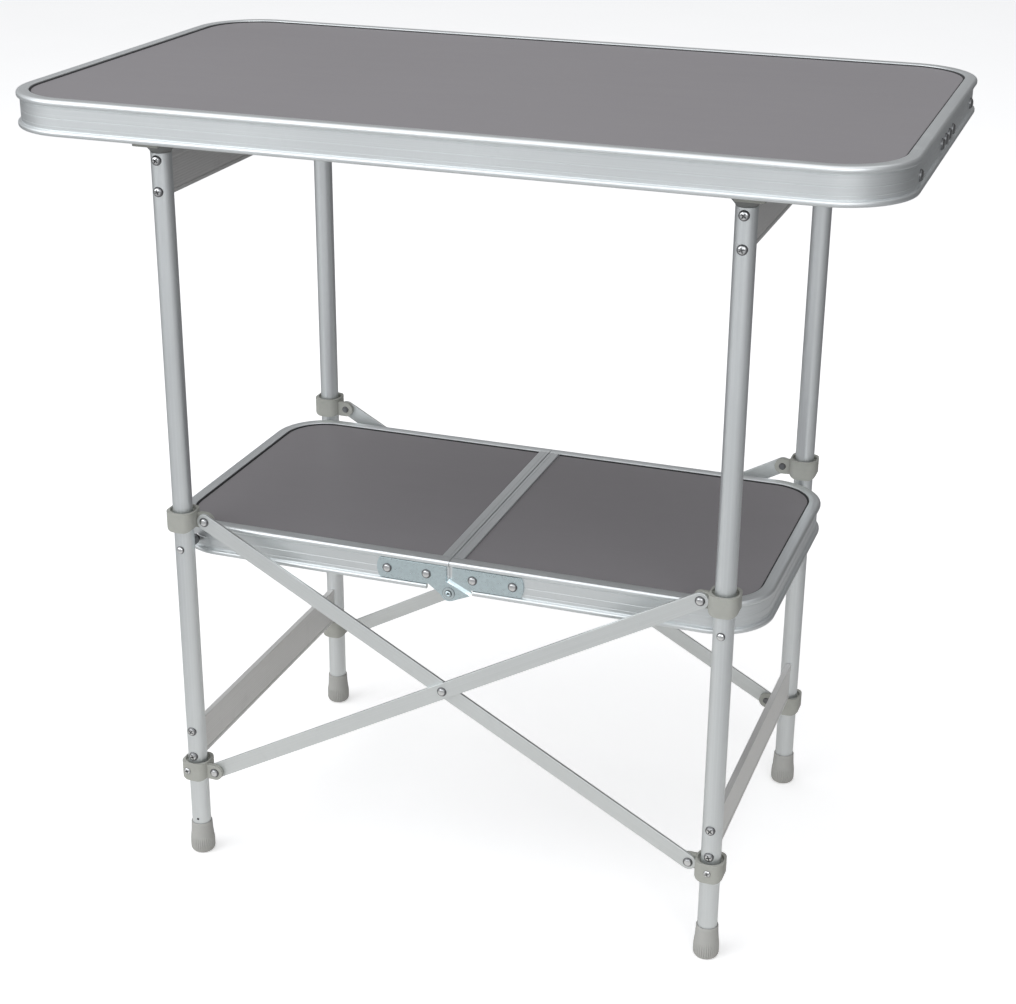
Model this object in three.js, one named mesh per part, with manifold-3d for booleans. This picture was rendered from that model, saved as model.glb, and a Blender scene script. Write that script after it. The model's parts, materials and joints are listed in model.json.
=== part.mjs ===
// Folding camp kitchen table: aluminium leg frames, front and rear scissors,
// a two-piece folding shelf and a lift-off top.  Millimetres, +Z up, floor at z = 0.
import * as THREE from "three";
import { mergeVertices } from "three/addons/utils/BufferGeometryUtils.js";
import Module from "manifold-3d";

const wasm = await Module();
wasm.setup();

// ---- driving dimensions -------------------------------------------------
const GAP = 0.3;                 // clearance between neighbouring pieces
const TOP_LENGTH = 804;          // table top along x
const TOP_WIDTH = 462;           // table top along y
const TOP_HEIGHT = 776;          // floor to the upper rim
const TOP_CORNER = 67;           // outline corner radius of the top
const LEG_X = 266;               // leg axis from the middle, along x
const LEG_Y = 170.5;             // leg axis from the middle, along y
const TUBE_R = 9.5;
const TUBE_WALL = 1.2;
const TUBE_TOP = 725;
const TUBE_BOTTOM = 7;

const EDGE_H = 32;               // height of the edge extrusion
const EDGE_WEB = 3;              // web recess behind the two beads
const EDGE_LIP = 11.5;           // upper lip measured from the outer face
const LIP_T = 1.4;
const GROOVE_FLOOR = 25.4;       // board groove, heights above the extrusion's foot
const WALL_IN = 4.8;             // inner face of the web
const GROOVE_WALL = 5.0;
const FLANGE_UNDER = 24;         // underside of the flange that carries the board

const END_BAR_WALL = 2.3;        // bars along the shelf's middle joint
const END_BAR_LIP = 11;
const SHELF_HALF_LENGTH = 297;
const SHELF_HALF_WIDTH = 154;
const SHELF_BOTTOM = 327;
const SHELF_CORNER = 54;
const SHELF_PIVOT_Z = 340;       // rivet through each leg
const HINGE_Z = SHELF_BOTTOM;    // middle hinge line

const LOWER_PIVOT_Z = 96.7;      // scissor pivots
const UPPER_PIVOT_Z = 368.4;
const EAR_X = 21.8;              // pivot offset from the leg axis
const BAR_W = 15.6;
const BAR_T = 3;
const BAR_LAYER = 0.15;          // half gap between the crossing bars

const COLLAR_HALF = 13.6;        // collar half width across the flats
const COLLAR_H = 20;
const COLLAR_ROUND = 8;          // corner radius of the ring
const COLLAR_CUT = 5;            // height of its curved lower corners
const COLLAR_TOP_LOWER = 106.5;
const SLIDER_BOTTOM = UPPER_PIVOT_Z - 9;
const COLLAR_BORE = TUBE_R + GAP;
const COLLAR_SINK = 3.2;         // counterbore in the upper face
const COLLAR_SINK_R = 12.2;
const RIVET_HOLE_R = 2.8;
const RIVET_HEAD_R = 4.6;
const RIVET_HEAD_H = 2.3;
const RIVET_TAIL_R = 3.5;
const RIVET_TAIL_H = 1.25;
const HEAD_GAP = 0.15;           // clearance under a rivet's head
const EAR_T = 4;
const EAR_R = 8;

const CROSSBAR_T = 6;
const CROSSBAR_H = 40;
const LOWER_CROSSBAR_Z = 106.8;
const UPPER_CROSSBAR_Z = 684.2;

const CAP_R = 15;
const CAP_TOP = 737;
const FOOT_TOP = 34;
const FOOT_R = 12.5;

const HINGE_T = 1.6;             // hinge leaf sheet
const HINGE_END = 73;            // leaf reach from the middle
const HINGE_LOW = 5.4;           // leaf edges above the extrusion's foot
const HINGE_HIGH = 25.8;
const HINGE_EAR_R = 8.3;
const HINGE_GAP = 3.2;           // leaf edge to the middle
const PIN_R = 3;

// ---- facet counts -----------------------------------------------------------
const TUBE_SIDES = 20;
const FOOT_SIDES = 18;
const CAP_SIDES = 16;
const BORE_SIDES = 18;
const RIVET_SIDES = 12;
const TOP_CORNER_SIDES = 8;
const SHELF_CORNER_SIDES = 7;
const EAR_SIDES = 20;
const HINGE_EAR_SIDES = 32;

// ---- finishes -------------------------------------------------------------
function finish(color, roughness, metalness) {
  return { color, roughness, metalness };
}
const ALUMINIUM = finish(0xbfc5c6, 0.42, 0.9);
const BAR_ALUMINIUM = finish(0xb6babb, 0.45, 0.9);
const ZINC = finish(0xa9b8bd, 0.38, 0.9);
const STEEL = finish(0xd6d8da, 0.25, 1.0);
const TOP_LAMINATE = finish(0x828082, 0.6, 0);
const SHELF_LAMINATE = finish(0x6f6d70, 0.6, 0);
const COLLAR_PLASTIC = finish(0x9b9e94, 0.62, 0);
const CAP_PLASTIC = finish(0x8b8d86, 0.6, 0);
const FOOT_RUBBER = finish(0x96978f, 0.85, 0);

const group = new THREE.Group();
group.name = "folding_kitchen_table";

// ---- solid helpers ----------------------------------------------------------
function weld(geometry) {
  const bare = new THREE.BufferGeometry();
  bare.setAttribute("position", geometry.getAttribute("position"));
  if (geometry.index) bare.setIndex(geometry.index);
  const merged = mergeVertices(bare, 1e-4);
  return volumeOf(merged) < 0 ? flipped(merged) : merged;
}

function volumeOf(geometry) {
  const p = geometry.getAttribute("position");
  const index = geometry.index.array;
  const a = new THREE.Vector3();
  const b = new THREE.Vector3();
  const c = new THREE.Vector3();
  let sum = 0;
  for (let i = 0; i < index.length; i += 3) {
    a.fromBufferAttribute(p, index[i]);
    b.fromBufferAttribute(p, index[i + 1]);
    c.fromBufferAttribute(p, index[i + 2]);
    sum += a.dot(b.cross(c)) / 6;
  }
  return sum;
}

function flipped(geometry) {
  const index = Array.from(geometry.index.array);
  for (let i = 0; i < index.length; i += 3) {
    [index[i + 1], index[i + 2]] = [index[i + 2], index[i + 1]];
  }
  geometry.setIndex(index);
  return geometry;
}

function solid(geometry) {
  const g = weld(geometry);
  return new wasm.Manifold(new wasm.Mesh({
    numProp: 3,
    vertProperties: new Float32Array(g.getAttribute("position").array),
    triVerts: new Uint32Array(g.index.array),
  }));
}

function geometryOf(body) {
  const mesh = body.getMesh();
  const g = new THREE.BufferGeometry();
  const count = mesh.vertProperties.length / mesh.numProp;
  const xyz = new Float32Array(count * 3);
  for (let i = 0; i < count; i += 1) {
    for (let k = 0; k < 3; k += 1) xyz[3 * i + k] = mesh.vertProperties[mesh.numProp * i + k];
  }
  g.setAttribute("position", new THREE.BufferAttribute(xyz, 3));
  g.setIndex(Array.from(mesh.triVerts));
  return g;
}

function add(name, shape, look) {
  const geometry = shape.isBufferGeometry ? weld(shape) : weld(geometryOf(shape));
  geometry.computeVertexNormals();
  const mesh = new THREE.Mesh(geometry, new THREE.MeshStandardMaterial(look));
  mesh.name = name;
  group.add(mesh);
}

function outline(points) {
  return new THREE.Shape(points.map(([x, y]) => new THREE.Vector2(x, y)));
}

// Extrusion of an outline drawn in x, y, between two heights.
function slabZ(points, z0, z1) {
  const g = new THREE.ExtrudeGeometry(outline(points), { depth: z1 - z0, bevelEnabled: false });
  return g.translate(0, 0, z0);
}

// Extrusion of an outline drawn in x, z, between two depths; holes are [x, z, radius].
function slabY(points, y0, y1, holes = [], holeSides = 14) {
  const shape = outline(points);
  for (const [x, z, r] of holes) shape.holes.push(outline(disc(x, z, r, holeSides)));
  const g = new THREE.ExtrudeGeometry(shape, { depth: y1 - y0, bevelEnabled: false });
  return g.rotateX(Math.PI / 2).translate(0, y1, 0);
}

function boxOf(x0, x1, y0, y1, z0, z1) {
  const g = new THREE.BoxGeometry(x1 - x0, y1 - y0, z1 - z0);
  return g.translate((x0 + x1) / 2, (y0 + y1) / 2, (z0 + z1) / 2);
}

function disc(x, y, r, sides, from = 0, to = 2 * Math.PI) {
  const full = Math.abs(to - from - 2 * Math.PI) < 1e-9;
  const count = full ? sides : sides + 1;
  const points = [];
  for (let i = 0; i < count; i += 1) {
    const t = from + ((to - from) * i) / sides;
    points.push([x + r * Math.cos(t), y + r * Math.sin(t)]);
  }
  return points;
}

function roundedRect(x0, x1, y0, y1, radii, sides) {
  const [r00, r10, r11, r01] = radii;
  const corner = (cx, cy, r, start) =>
    r > 0 ? disc(cx, cy, r, sides, start, start + Math.PI / 2) : [[cx, cy]];
  return [
    ...corner(x0 + r00, y0 + r00, r00, Math.PI),
    ...corner(x1 - r10, y0 + r10, r10, 1.5 * Math.PI),
    ...corner(x1 - r11, y1 - r11, r11, 0),
    ...corner(x0 + r01, y1 - r01, r01, 0.5 * Math.PI),
  ];
}

// Turned part about the vertical through x, y; profile is [radius, height].
function turnedZ(profile, sides, x, y) {
  const g = new THREE.LatheGeometry(profile.map(([r, z]) => new THREE.Vector2(r, z)), sides);
  return g.rotateX(Math.PI / 2).translate(x, y, 0);
}

// Turned part about a front-to-rear axis through x, z; profile is [radius, depth].
function turnedY(profile, sides, x, z) {
  const g = new THREE.LatheGeometry(profile.map(([r, y]) => new THREE.Vector2(r, y)), sides);
  return g.translate(x, 0, z);
}

function convexHull(points) {
  const p = [...points].sort((a, b) => a[0] - b[0] || a[1] - b[1]);
  const turn = (o, a, b) => (a[0] - o[0]) * (b[1] - o[1]) - (a[1] - o[1]) * (b[0] - o[0]);
  const half = (list) => {
    const out = [];
    for (const q of list) {
      while (out.length > 1 && turn(out[out.length - 2], out[out.length - 1], q) <= 0) out.pop();
      out.push(q);
    }
    out.pop();
    return out;
  };
  return [...half(p), ...half([...p].reverse())];
}

// ---- edge extrusion, swept along an outline -----------------------------------
// Section points are [inward from the outer face, height above the foot].
const EDGE_SECTION = [
  [WALL_IN, 0.4], [4.2, 0], [1.3, 0], [0.2, 1.0], [0, 2.4], [0.5, 3.9], [1.7, 4.7],
  [EDGE_WEB, 5.0], [EDGE_WEB, 26.2], [1.3, 26.5], [0.2, 27.6], [0, 29.3], [0.7, 31.2],
  [2.2, EDGE_H], [EDGE_LIP, EDGE_H], [EDGE_LIP, EDGE_H - LIP_T], [GROOVE_WALL, EDGE_H - LIP_T],
  [GROOVE_WALL, GROOVE_FLOOR], [EDGE_LIP - 1, GROOVE_FLOOR], [EDGE_LIP - 1, FLANGE_UNDER],
  [WALL_IN, FLANGE_UNDER],
];

// Stations are [x, y, outward x, outward y]; the section is carried along them.
function sweep(stations, section, z0, closed) {
  const n = section.length;
  const xyz = [];
  for (const [x, y, nx, ny] of stations) {
    for (const [u, v] of section) xyz.push(x - nx * u, y - ny * u, z0 + v);
  }
  const index = [];
  const spans = closed ? stations.length : stations.length - 1;
  for (let i = 0; i < spans; i += 1) {
    const a = i * n;
    const b = ((i + 1) % stations.length) * n;
    for (let k = 0; k < n; k += 1) {
      const m = (k + 1) % n;
      index.push(a + k, b + k, b + m, a + k, b + m, a + m);
    }
  }
  if (!closed) {
    const flat = section.map(([u, v]) => new THREE.Vector2(u, v));
    const last = (stations.length - 1) * n;
    const winding = Math.sign(THREE.ShapeUtils.area(flat));
    for (const [i, j, k] of THREE.ShapeUtils.triangulateShape(flat, [])) {
      const same = Math.sign(THREE.ShapeUtils.area([flat[i], flat[j], flat[k]])) === winding;
      const [p, q] = same ? [j, k] : [k, j];
      index.push(i, p, q, last + i, last + q, last + p);
    }
  }
  const g = new THREE.BufferGeometry();
  g.setAttribute("position", new THREE.BufferAttribute(new Float32Array(xyz), 3));
  g.setIndex(index);
  return g;
}

function cornerStations(cx, cy, r, from, sides) {
  const out = [];
  for (let i = 0; i <= sides; i += 1) {
    const t = from + (Math.PI / 2) * (i / sides);
    out.push([cx + r * Math.cos(t), cy + r * Math.sin(t), Math.cos(t), Math.sin(t)]);
  }
  return out;
}

// ---- table top ------------------------------------------------------------------
const TOP_FOOT = TOP_HEIGHT - EDGE_H;
const BOARD_LOW = GROOVE_FLOOR + GAP;
const BOARD_HIGH = EDGE_H - LIP_T - GAP;
const BOARD_INSET = GROOVE_WALL + GAP;
const PANEL_INSET = EDGE_LIP + GAP;
const BOARD_STEP = 0.2;          // the board's edge is thinner where it sits in the groove

function addBoard(name, edge, panel, foot, look) {
  const low = solid(slabZ(edge, foot + BOARD_LOW, foot + BOARD_HIGH - BOARD_STEP));
  const high = solid(slabZ(panel, foot + BOARD_LOW, foot + BOARD_HIGH));
  add(name, low.add(high), look);
}

function buildTop() {
  const x = TOP_LENGTH / 2;
  const y = TOP_WIDTH / 2;
  const r = TOP_CORNER;
  const sides = TOP_CORNER_SIDES;
  const path = [
    ...cornerStations(x - r, y - r, r, 0, sides),
    ...cornerStations(-x + r, y - r, r, Math.PI / 2, sides),
    ...cornerStations(-x + r, -y + r, r, Math.PI, sides),
    ...cornerStations(x - r, -y + r, r, 1.5 * Math.PI, sides),
  ];
  add("top_frame", sweep(path, EDGE_SECTION, TOP_FOOT, true), ALUMINIUM);
  const rounded = (inset) =>
    roundedRect(inset - x, x - inset, inset - y, y - inset, Array(4).fill(r - inset), sides);
  addBoard("top_board", rounded(BOARD_INSET), rounded(PANEL_INSET), TOP_FOOT, TOP_LAMINATE);
}

// Socket under the top: a block with a pocket open downwards and towards the middle.
const SOCKET_HALF = 18.5;
const SOCKET_MOUTH = 731.5;      // height of the open lower face
const SOCKET_INNER = 7;          // how far the block reaches towards the middle
const SOCKET_PLAY = 0.5;         // room around the cap
function buildSocket(name, sx, sy) {
  const outerX = sx * (LEG_X + SOCKET_HALF);
  const innerX = sx * (LEG_X - SOCKET_INNER);
  const x0 = Math.min(outerX, innerX);
  const x1 = Math.max(outerX, innerX);
  const y = sy * LEG_Y;
  const roof = TOP_FOOT + BOARD_LOW - GAP;
  const block = solid(boxOf(x0, x1, y - SOCKET_HALF, y + SOCKET_HALF, SOCKET_MOUTH, roof));
  const pocket = CAP_R + SOCKET_PLAY;
  const reach = sx * (LEG_X - 2 * SOCKET_HALF);
  const channel = [
    ...disc(sx * LEG_X, y, pocket, 12, sx > 0 ? -Math.PI / 2 : Math.PI / 2,
      sx > 0 ? Math.PI / 2 : 1.5 * Math.PI),
    ...(sx > 0 ? [[reach, y + pocket], [reach, y - pocket]] : [[reach, y - pocket], [reach, y + pocket]]),
  ];
  const cut = solid(slabZ(channel, SOCKET_MOUTH - 5, CAP_TOP + GAP));
  add(name, block.subtract(cut), COLLAR_PLASTIC);
}

// ---- legs -------------------------------------------------------------------------
function buildTube(name, x, y) {
  const inner = TUBE_R - TUBE_WALL;
  const profile = [
    [inner, TUBE_BOTTOM], [TUBE_R, TUBE_BOTTOM], [TUBE_R, TUBE_TOP], [inner, TUBE_TOP],
    [inner, TUBE_BOTTOM],
  ];
  const tube = solid(turnedZ(profile, TUBE_SIDES, x, y));
  const hole = PIN_R + GAP;
  const past = 2 * TUBE_R;
  const bore = solid(turnedY([[0, y - past], [hole, y - past], [hole, y + past], [0, y + past]],
    RIVET_SIDES, x, SHELF_PIVOT_Z));
  add(name, tube.subtract(bore), ALUMINIUM);
}

// Cap with a plug inside the tube and a flared head.
const CAP_PLUG = 14;
const CAP_FLARE = 6.5;           // height at which the head is at its widest
const CAP_EDGE = 1;
function buildCap(name, x, y) {
  const plug = TUBE_R - TUBE_WALL - GAP;
  const seat = TUBE_TOP + GAP;
  const profile = [
    [0, seat - CAP_PLUG], [plug, seat - CAP_PLUG], [plug, seat], [TUBE_R, seat],
    [TUBE_R + CAP_EDGE, seat + CAP_EDGE], [CAP_R, seat + CAP_FLARE], [CAP_R, CAP_TOP - CAP_EDGE],
    [CAP_R - CAP_EDGE, CAP_TOP], [0, CAP_TOP],
  ];
  add(name, turnedZ(profile, CAP_SIDES, x, y), CAP_PLASTIC);
}

// Foot pushed over the tube's end: a wide lower part and a thin sleeve above it.
const FOOT_SLEEVE_R = 10.8;
const FOOT_WIDE_TO = 13;         // height up to which the foot is at its widest
const FOOT_NECK = 24;            // height at which it has narrowed to the sleeve
function buildFoot(name, x, y) {
  const bore = TUBE_R + GAP;
  const floor = TUBE_BOTTOM - GAP;
  const profile = [
    [0, 0], [FOOT_R - 2.2, 0], [FOOT_R - 0.6, 1.8], [FOOT_R, 6], [FOOT_R, FOOT_WIDE_TO],
    [FOOT_SLEEVE_R + 0.5, FOOT_NECK], [FOOT_SLEEVE_R, FOOT_TOP - 0.6], [FOOT_SLEEVE_R - 0.4, FOOT_TOP],
    [bore, FOOT_TOP], [bore, floor], [0, floor],
  ];
  add(name, turnedZ(profile, FOOT_SIDES, x, y), FOOT_RUBBER);
}

// Collar around a leg: rounded square ring, lower side corners cut off, upper counterbore,
// and one flat ear towards the table's middle.  ear is [layer0, layer1] from the leg
// plane towards the middle of the table.
function buildCollar(name, sx, sy, bottom, pivotZ, ear) {
  const x = sx * LEG_X;
  const y = sy * LEG_Y;
  const top = bottom + COLLAR_H;
  const h = COLLAR_HALF;
  const c = COLLAR_CUT;
  const ring = solid(slabZ(roundedRect(x - h, x + h, y - h, y + h, Array(4).fill(COLLAR_ROUND), 4),
    bottom, top));
  const m = COLLAR_CUT / 3.5;
  const side = solid(slabY([
    [x - h - 1, top + 1], [x - h - 1, bottom + c], [x - h, bottom + c], [x - h + c, bottom + m],
    [x - 3, bottom], [x + 3, bottom], [x + h - c, bottom + m], [x + h, bottom + c],
    [x + h + 1, bottom + c], [x + h + 1, top + 1],
  ], y - h - 1, y + h + 1));
  const px = x - sx * EAR_X;
  const [e0, e1] = ear;
  const ya = y - sy * e0;
  const yb = y - sy * e1;
  const root = x - sx * (h - 3);
  const plate = convexHull([
    ...disc(px, pivotZ, EAR_R, EAR_SIDES),
    [root, pivotZ - EAR_R + 0.5], [root, pivotZ + EAR_R],
  ]);
  const earBody = solid(slabY(plate, Math.min(ya, yb), Math.max(ya, yb), [[px, pivotZ, RIVET_HOLE_R]]));
  const sink = top - COLLAR_SINK;
  const bore = solid(turnedZ([[0, bottom - 1], [COLLAR_BORE, bottom - 1], [COLLAR_BORE, sink],
    [COLLAR_SINK_R, sink], [COLLAR_SINK_R, top + 1], [0, top + 1]], BORE_SIDES, x, y));
  add(name, ring.intersect(side).add(earBody).subtract(bore), COLLAR_PLASTIC);
}

// Crossbar between a front and a rear leg: flat extrusion with two shallow face channels.
const CHANNEL_DEPTH = 0.7;
const CHANNEL_LOW = 3.2;         // flat border below the channel
const CHANNEL_HIGH = 7.5;        // flat border above it
function buildCrossbar(name, sx, z0) {
  const x = sx * LEG_X;
  const t = CROSSBAR_T / 2;
  const z1 = z0 + CROSSBAR_H;
  const y = LEG_Y - TUBE_R - GAP;
  const d = CHANNEL_DEPTH;
  const low = z0 + CHANNEL_LOW;
  const high = z1 - CHANNEL_HIGH;
  const profile = [
    [x - t, z0], [x + t, z0], [x + t, low], [x + t - d, low + d], [x + t - d, high - d],
    [x + t, high], [x + t, z1], [x - t, z1], [x - t, high], [x - t + d, high - d],
    [x - t + d, low + d], [x - t, low],
  ];
  add(name, slabY(profile, -y, y), ALUMINIUM);
}

// ---- scissors -----------------------------------------------------------------------
const PIVOT_X = LEG_X - EAR_X;
const CROSS_Z = (LOWER_PIVOT_Z + UPPER_PIVOT_Z) / 2;

// Layers are measured from the leg plane towards the middle of the table.
function layerY(sy, layer) {
  return sy * (LEG_Y - layer);
}

// Flat bar through two pivots, with round ends and a middle hole; rise is +1 when the
// right-hand end is the upper one.
function buildBar(name, sy, layer0, layer1, rise) {
  const dx = PIVOT_X;
  const dz = (UPPER_PIVOT_Z - LOWER_PIVOT_Z) / 2;
  const tilt = Math.atan2(rise * dz, dx);
  const half = Math.hypot(dx, dz);
  const ends = [
    ...disc(half, 0, BAR_W / 2, 10, -Math.PI / 2, Math.PI / 2),
    ...disc(-half, 0, BAR_W / 2, 10, Math.PI / 2, 1.5 * Math.PI),
  ];
  const y0 = Math.min(layerY(sy, layer0), layerY(sy, layer1));
  const y1 = Math.max(layerY(sy, layer0), layerY(sy, layer1));
  const holes = [-half, 0, half].map((s) => [s, 0, RIVET_HOLE_R]);
  const g = slabY(ends, y0, y1, holes, 12);
  add(name, g.rotateY(-tilt).translate(0, 0, CROSS_Z), BAR_ALUMINIUM);
}

// Domed rivet along y through layers[0]..layers[1]; the dome faces away from the middle.
function buildRivet(name, x, z, sy, layers) {
  const [outer, inner] = layers;
  const shank = RIVET_HOLE_R - GAP;
  const head = outer - HEAD_GAP;
  const tail = inner + HEAD_GAP;
  const profile = [
    [0, outer - RIVET_HEAD_H], [2.9, outer - 1.9], [RIVET_HEAD_R - 0.1, outer - 0.7],
    [RIVET_HEAD_R, head], [shank, head], [shank, tail], [RIVET_TAIL_R, tail],
    [RIVET_TAIL_R - 0.4, tail + RIVET_TAIL_H], [0, tail + RIVET_TAIL_H],
  ].map(([r, layer]) => [r, layerY(sy, layer)]);
  add(name, turnedY(profile, RIVET_SIDES, x, z), STEEL);
}

const A_LAYER = [-BAR_LAYER - BAR_T, -BAR_LAYER];
const B_LAYER = [BAR_LAYER, BAR_LAYER + BAR_T];
const OUTER_EAR = [A_LAYER[0] - GAP - EAR_T, A_LAYER[0] - GAP];
const BEHIND_A = [BAR_LAYER, BAR_LAYER + EAR_T];
const BEHIND_B = [B_LAYER[1] + GAP, B_LAYER[1] + GAP + EAR_T];

function buildScissor(side, sy) {
  const dome = side[0];
  buildBar(`scissor_bar_${side}_a`, sy, A_LAYER[0], A_LAYER[1], 1);
  buildBar(`scissor_bar_${side}_b`, sy, B_LAYER[0], B_LAYER[1], -1);
  buildRivet(`scissor_rivet_${side}`, 0, CROSS_Z, sy, [A_LAYER[0], B_LAYER[1]]);
  const lower = COLLAR_TOP_LOWER - COLLAR_H;
  buildCollar(`lower_collar_${dome}l`, -1, sy, lower, LOWER_PIVOT_Z, OUTER_EAR);
  buildCollar(`lower_collar_${dome}r`, 1, sy, lower, LOWER_PIVOT_Z, BEHIND_B);
  buildCollar(`slider_collar_${dome}l`, -1, sy, SLIDER_BOTTOM, UPPER_PIVOT_Z, BEHIND_B);
  buildCollar(`slider_collar_${dome}r`, 1, sy, SLIDER_BOTTOM, UPPER_PIVOT_Z, BEHIND_A);
  buildRivet(`lower_rivet_${dome}l`, -PIVOT_X, LOWER_PIVOT_Z, sy, [OUTER_EAR[0], A_LAYER[1]]);
  buildRivet(`lower_rivet_${dome}r`, PIVOT_X, LOWER_PIVOT_Z, sy, [B_LAYER[0], BEHIND_B[1]]);
  buildRivet(`slider_rivet_${dome}l`, -PIVOT_X, UPPER_PIVOT_Z, sy, [B_LAYER[0], BEHIND_B[1]]);
  buildRivet(`slider_rivet_${dome}r`, PIVOT_X, UPPER_PIVOT_Z, sy, [A_LAYER[0], BEHIND_A[1]]);
}

// ---- shelf ----------------------------------------------------------------------------
// The left half is drawn on negative x and the right half is its mirror image.
function mirrored(points, sx) {
  return sx < 0 ? points : points.map(([x, z]) => [-x, z]).reverse();
}

// Room for the hinge in each half's lower edge: [reach from the middle, height].
const HINGE_NOTCHES = [[6.5, 7], [23, 5.2]];
const END_BAR_FOOT = 3;          // lower edge of the bar above the extrusion's foot

function buildShelfHalf(side, sx) {
  const x = SHELF_HALF_LENGTH;
  const y = SHELF_HALF_WIDTH;
  const r = SHELF_CORNER;
  const sides = SHELF_CORNER_SIDES;
  const path = [
    [-GAP, y, 0, 1],
    ...cornerStations(-x + r, y - r, r, Math.PI / 2, sides),
    ...cornerStations(-x + r, -y + r, r, Math.PI, sides),
    [-GAP, -y, 0, -1],
  ].map(([px, py, nx, ny]) => [-sx * px, py, -sx * nx, ny]);
  let frame = solid(sweep(path, EDGE_SECTION, SHELF_BOTTOM, false));
  for (const sy of [-1, 1]) {
    const near = sy * (y + 1);
    const far = sy * (y - EDGE_LIP);
    const y0 = Math.min(near, far);
    const y1 = Math.max(near, far);
    const notch = (reach, height) => solid(boxOf(Math.min(0, sx * reach), Math.max(0, sx * reach),
      y0, y1, SHELF_BOTTOM - 1, SHELF_BOTTOM + height));
    for (const [reach, height] of HINGE_NOTCHES) frame = frame.subtract(notch(reach, height));
    const hole = PIN_R + GAP;
    const pin = [[0, y0 - 1], [hole, y0 - 1], [hole, y1 + 1], [0, y1 + 1]];
    frame = frame.subtract(solid(turnedY(pin, RIVET_SIDES, sx * LEG_X, SHELF_PIVOT_Z)));
  }
  add(`shelf_frame_${side}`, frame, ALUMINIUM);

  const half = (inset, inner) => {
    const round = r - inset;
    return sx < 0 ? roundedRect(inset - x, -inner, inset - y, y - inset, [round, 0, 0, round], sides)
      : roundedRect(inner, x - inset, inset - y, y - inset, [0, round, round, 0], sides);
  };
  addBoard(`shelf_board_${side}`, half(BOARD_INSET, END_BAR_WALL + GAP), half(PANEL_INSET, END_BAR_LIP + GAP),
    SHELF_BOTTOM, SHELF_LAMINATE);

  const z = SHELF_BOTTOM;
  const flange = END_BAR_LIP - 1;
  const web = END_BAR_WALL - 0.2;
  const section = mirrored([
    [-GAP, z + END_BAR_FOOT], [-GAP, z + EDGE_H], [-END_BAR_LIP, z + EDGE_H],
    [-END_BAR_LIP, z + EDGE_H - LIP_T], [-END_BAR_WALL, z + EDGE_H - LIP_T],
    [-END_BAR_WALL, z + GROOVE_FLOOR], [-flange, z + GROOVE_FLOOR], [-flange, z + FLANGE_UNDER],
    [-web, z + FLANGE_UNDER], [-web, z + END_BAR_FOOT],
  ], sx);
  const reach = y - EDGE_LIP - GAP;
  add(`shelf_end_bar_${side}`, slabY(section, -reach, reach), ALUMINIUM);
}

// Hinge leaves lie on the web; depths run from the shelf's outer face inwards.
const LEAF_OUT = EDGE_WEB - GAP - HINGE_T;
const LEAF_IN = EDGE_WEB - GAP;
const JOG = HINGE_T + GAP;       // how far the right leaf's ear stands in front of the left one's
const LEAF_END_BULGE = 3;        // the leaf's end is bowed outwards by this much
const LEAF_NECK_X = 21;          // where the left leaf starts to narrow to its ear
const LEAF_NECK_HIGH = 13.5;
const FOLD_SLOPE = -0.448;       // slope of the right leaf's fold, in radians
const FOLD_START = -6.2;         // ends of the fold, along it
const FOLD_END = 18.6;
const FOLD_NEAR = HINGE_EAR_R + 0.5;
const FOLD_FAR = FOLD_NEAR + 3.6;
const WASHER_R = 6.2;
const PIN_HEAD_R = 3.7;
const PIN_TAIL_R = 4.6;

function hingeY(sy, depth) {
  return sy * (SHELF_HALF_WIDTH - depth);
}

function plateAt(points, sy, d0, d1, holes = []) {
  const a = hingeY(sy, d0);
  const b = hingeY(sy, d1);
  return solid(slabY(points, Math.min(a, b), Math.max(a, b), holes));
}

function leafOutline(sx, lowEdge) {
  const z = SHELF_BOTTOM;
  const end = [];
  for (let i = 0; i <= 6; i += 1) {
    const t = -1 + (2 * i) / 6;
    end.push([-HINGE_END + LEAF_END_BULGE * t * t,
      z + HINGE_HIGH - ((HINGE_HIGH - HINGE_LOW) * (t + 1)) / 2]);
  }
  return mirrored([[-HINGE_GAP, z + HINGE_HIGH], ...end, ...lowEdge], sx);
}

// Point s along the right leaf's fold and n above it, both from the hinge axis.
function atFold(s, n) {
  const c = Math.cos(FOLD_SLOPE);
  const d = Math.sin(FOLD_SLOPE);
  return [c * s - d * n, HINGE_Z + d * s + c * n];
}

// Pressed step between the right leaf and its ear: a ramp that runs along the fold.
function foldRamp(sy) {
  const section = [
    [FOLD_NEAR, LEAF_OUT - JOG], [FOLD_FAR, LEAF_OUT], [FOLD_FAR, LEAF_IN], [FOLD_NEAR, LEAF_IN],
  ];
  const xyz = [];
  for (const s of [FOLD_START, FOLD_END]) {
    for (const [n, depth] of section) {
      const [x, z] = atFold(s, n);
      xyz.push(x, hingeY(sy, depth), z);
    }
  }
  const g = new THREE.BufferGeometry();
  g.setAttribute("position", new THREE.BufferAttribute(new Float32Array(xyz), 3));
  g.setIndex([0, 1, 2, 0, 2, 3, 4, 6, 5, 4, 7, 6, 0, 5, 1, 0, 4, 5, 1, 6, 2, 1, 5, 6,
    2, 7, 3, 2, 6, 7, 3, 4, 0, 3, 7, 4]);
  return solid(g);
}

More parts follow.
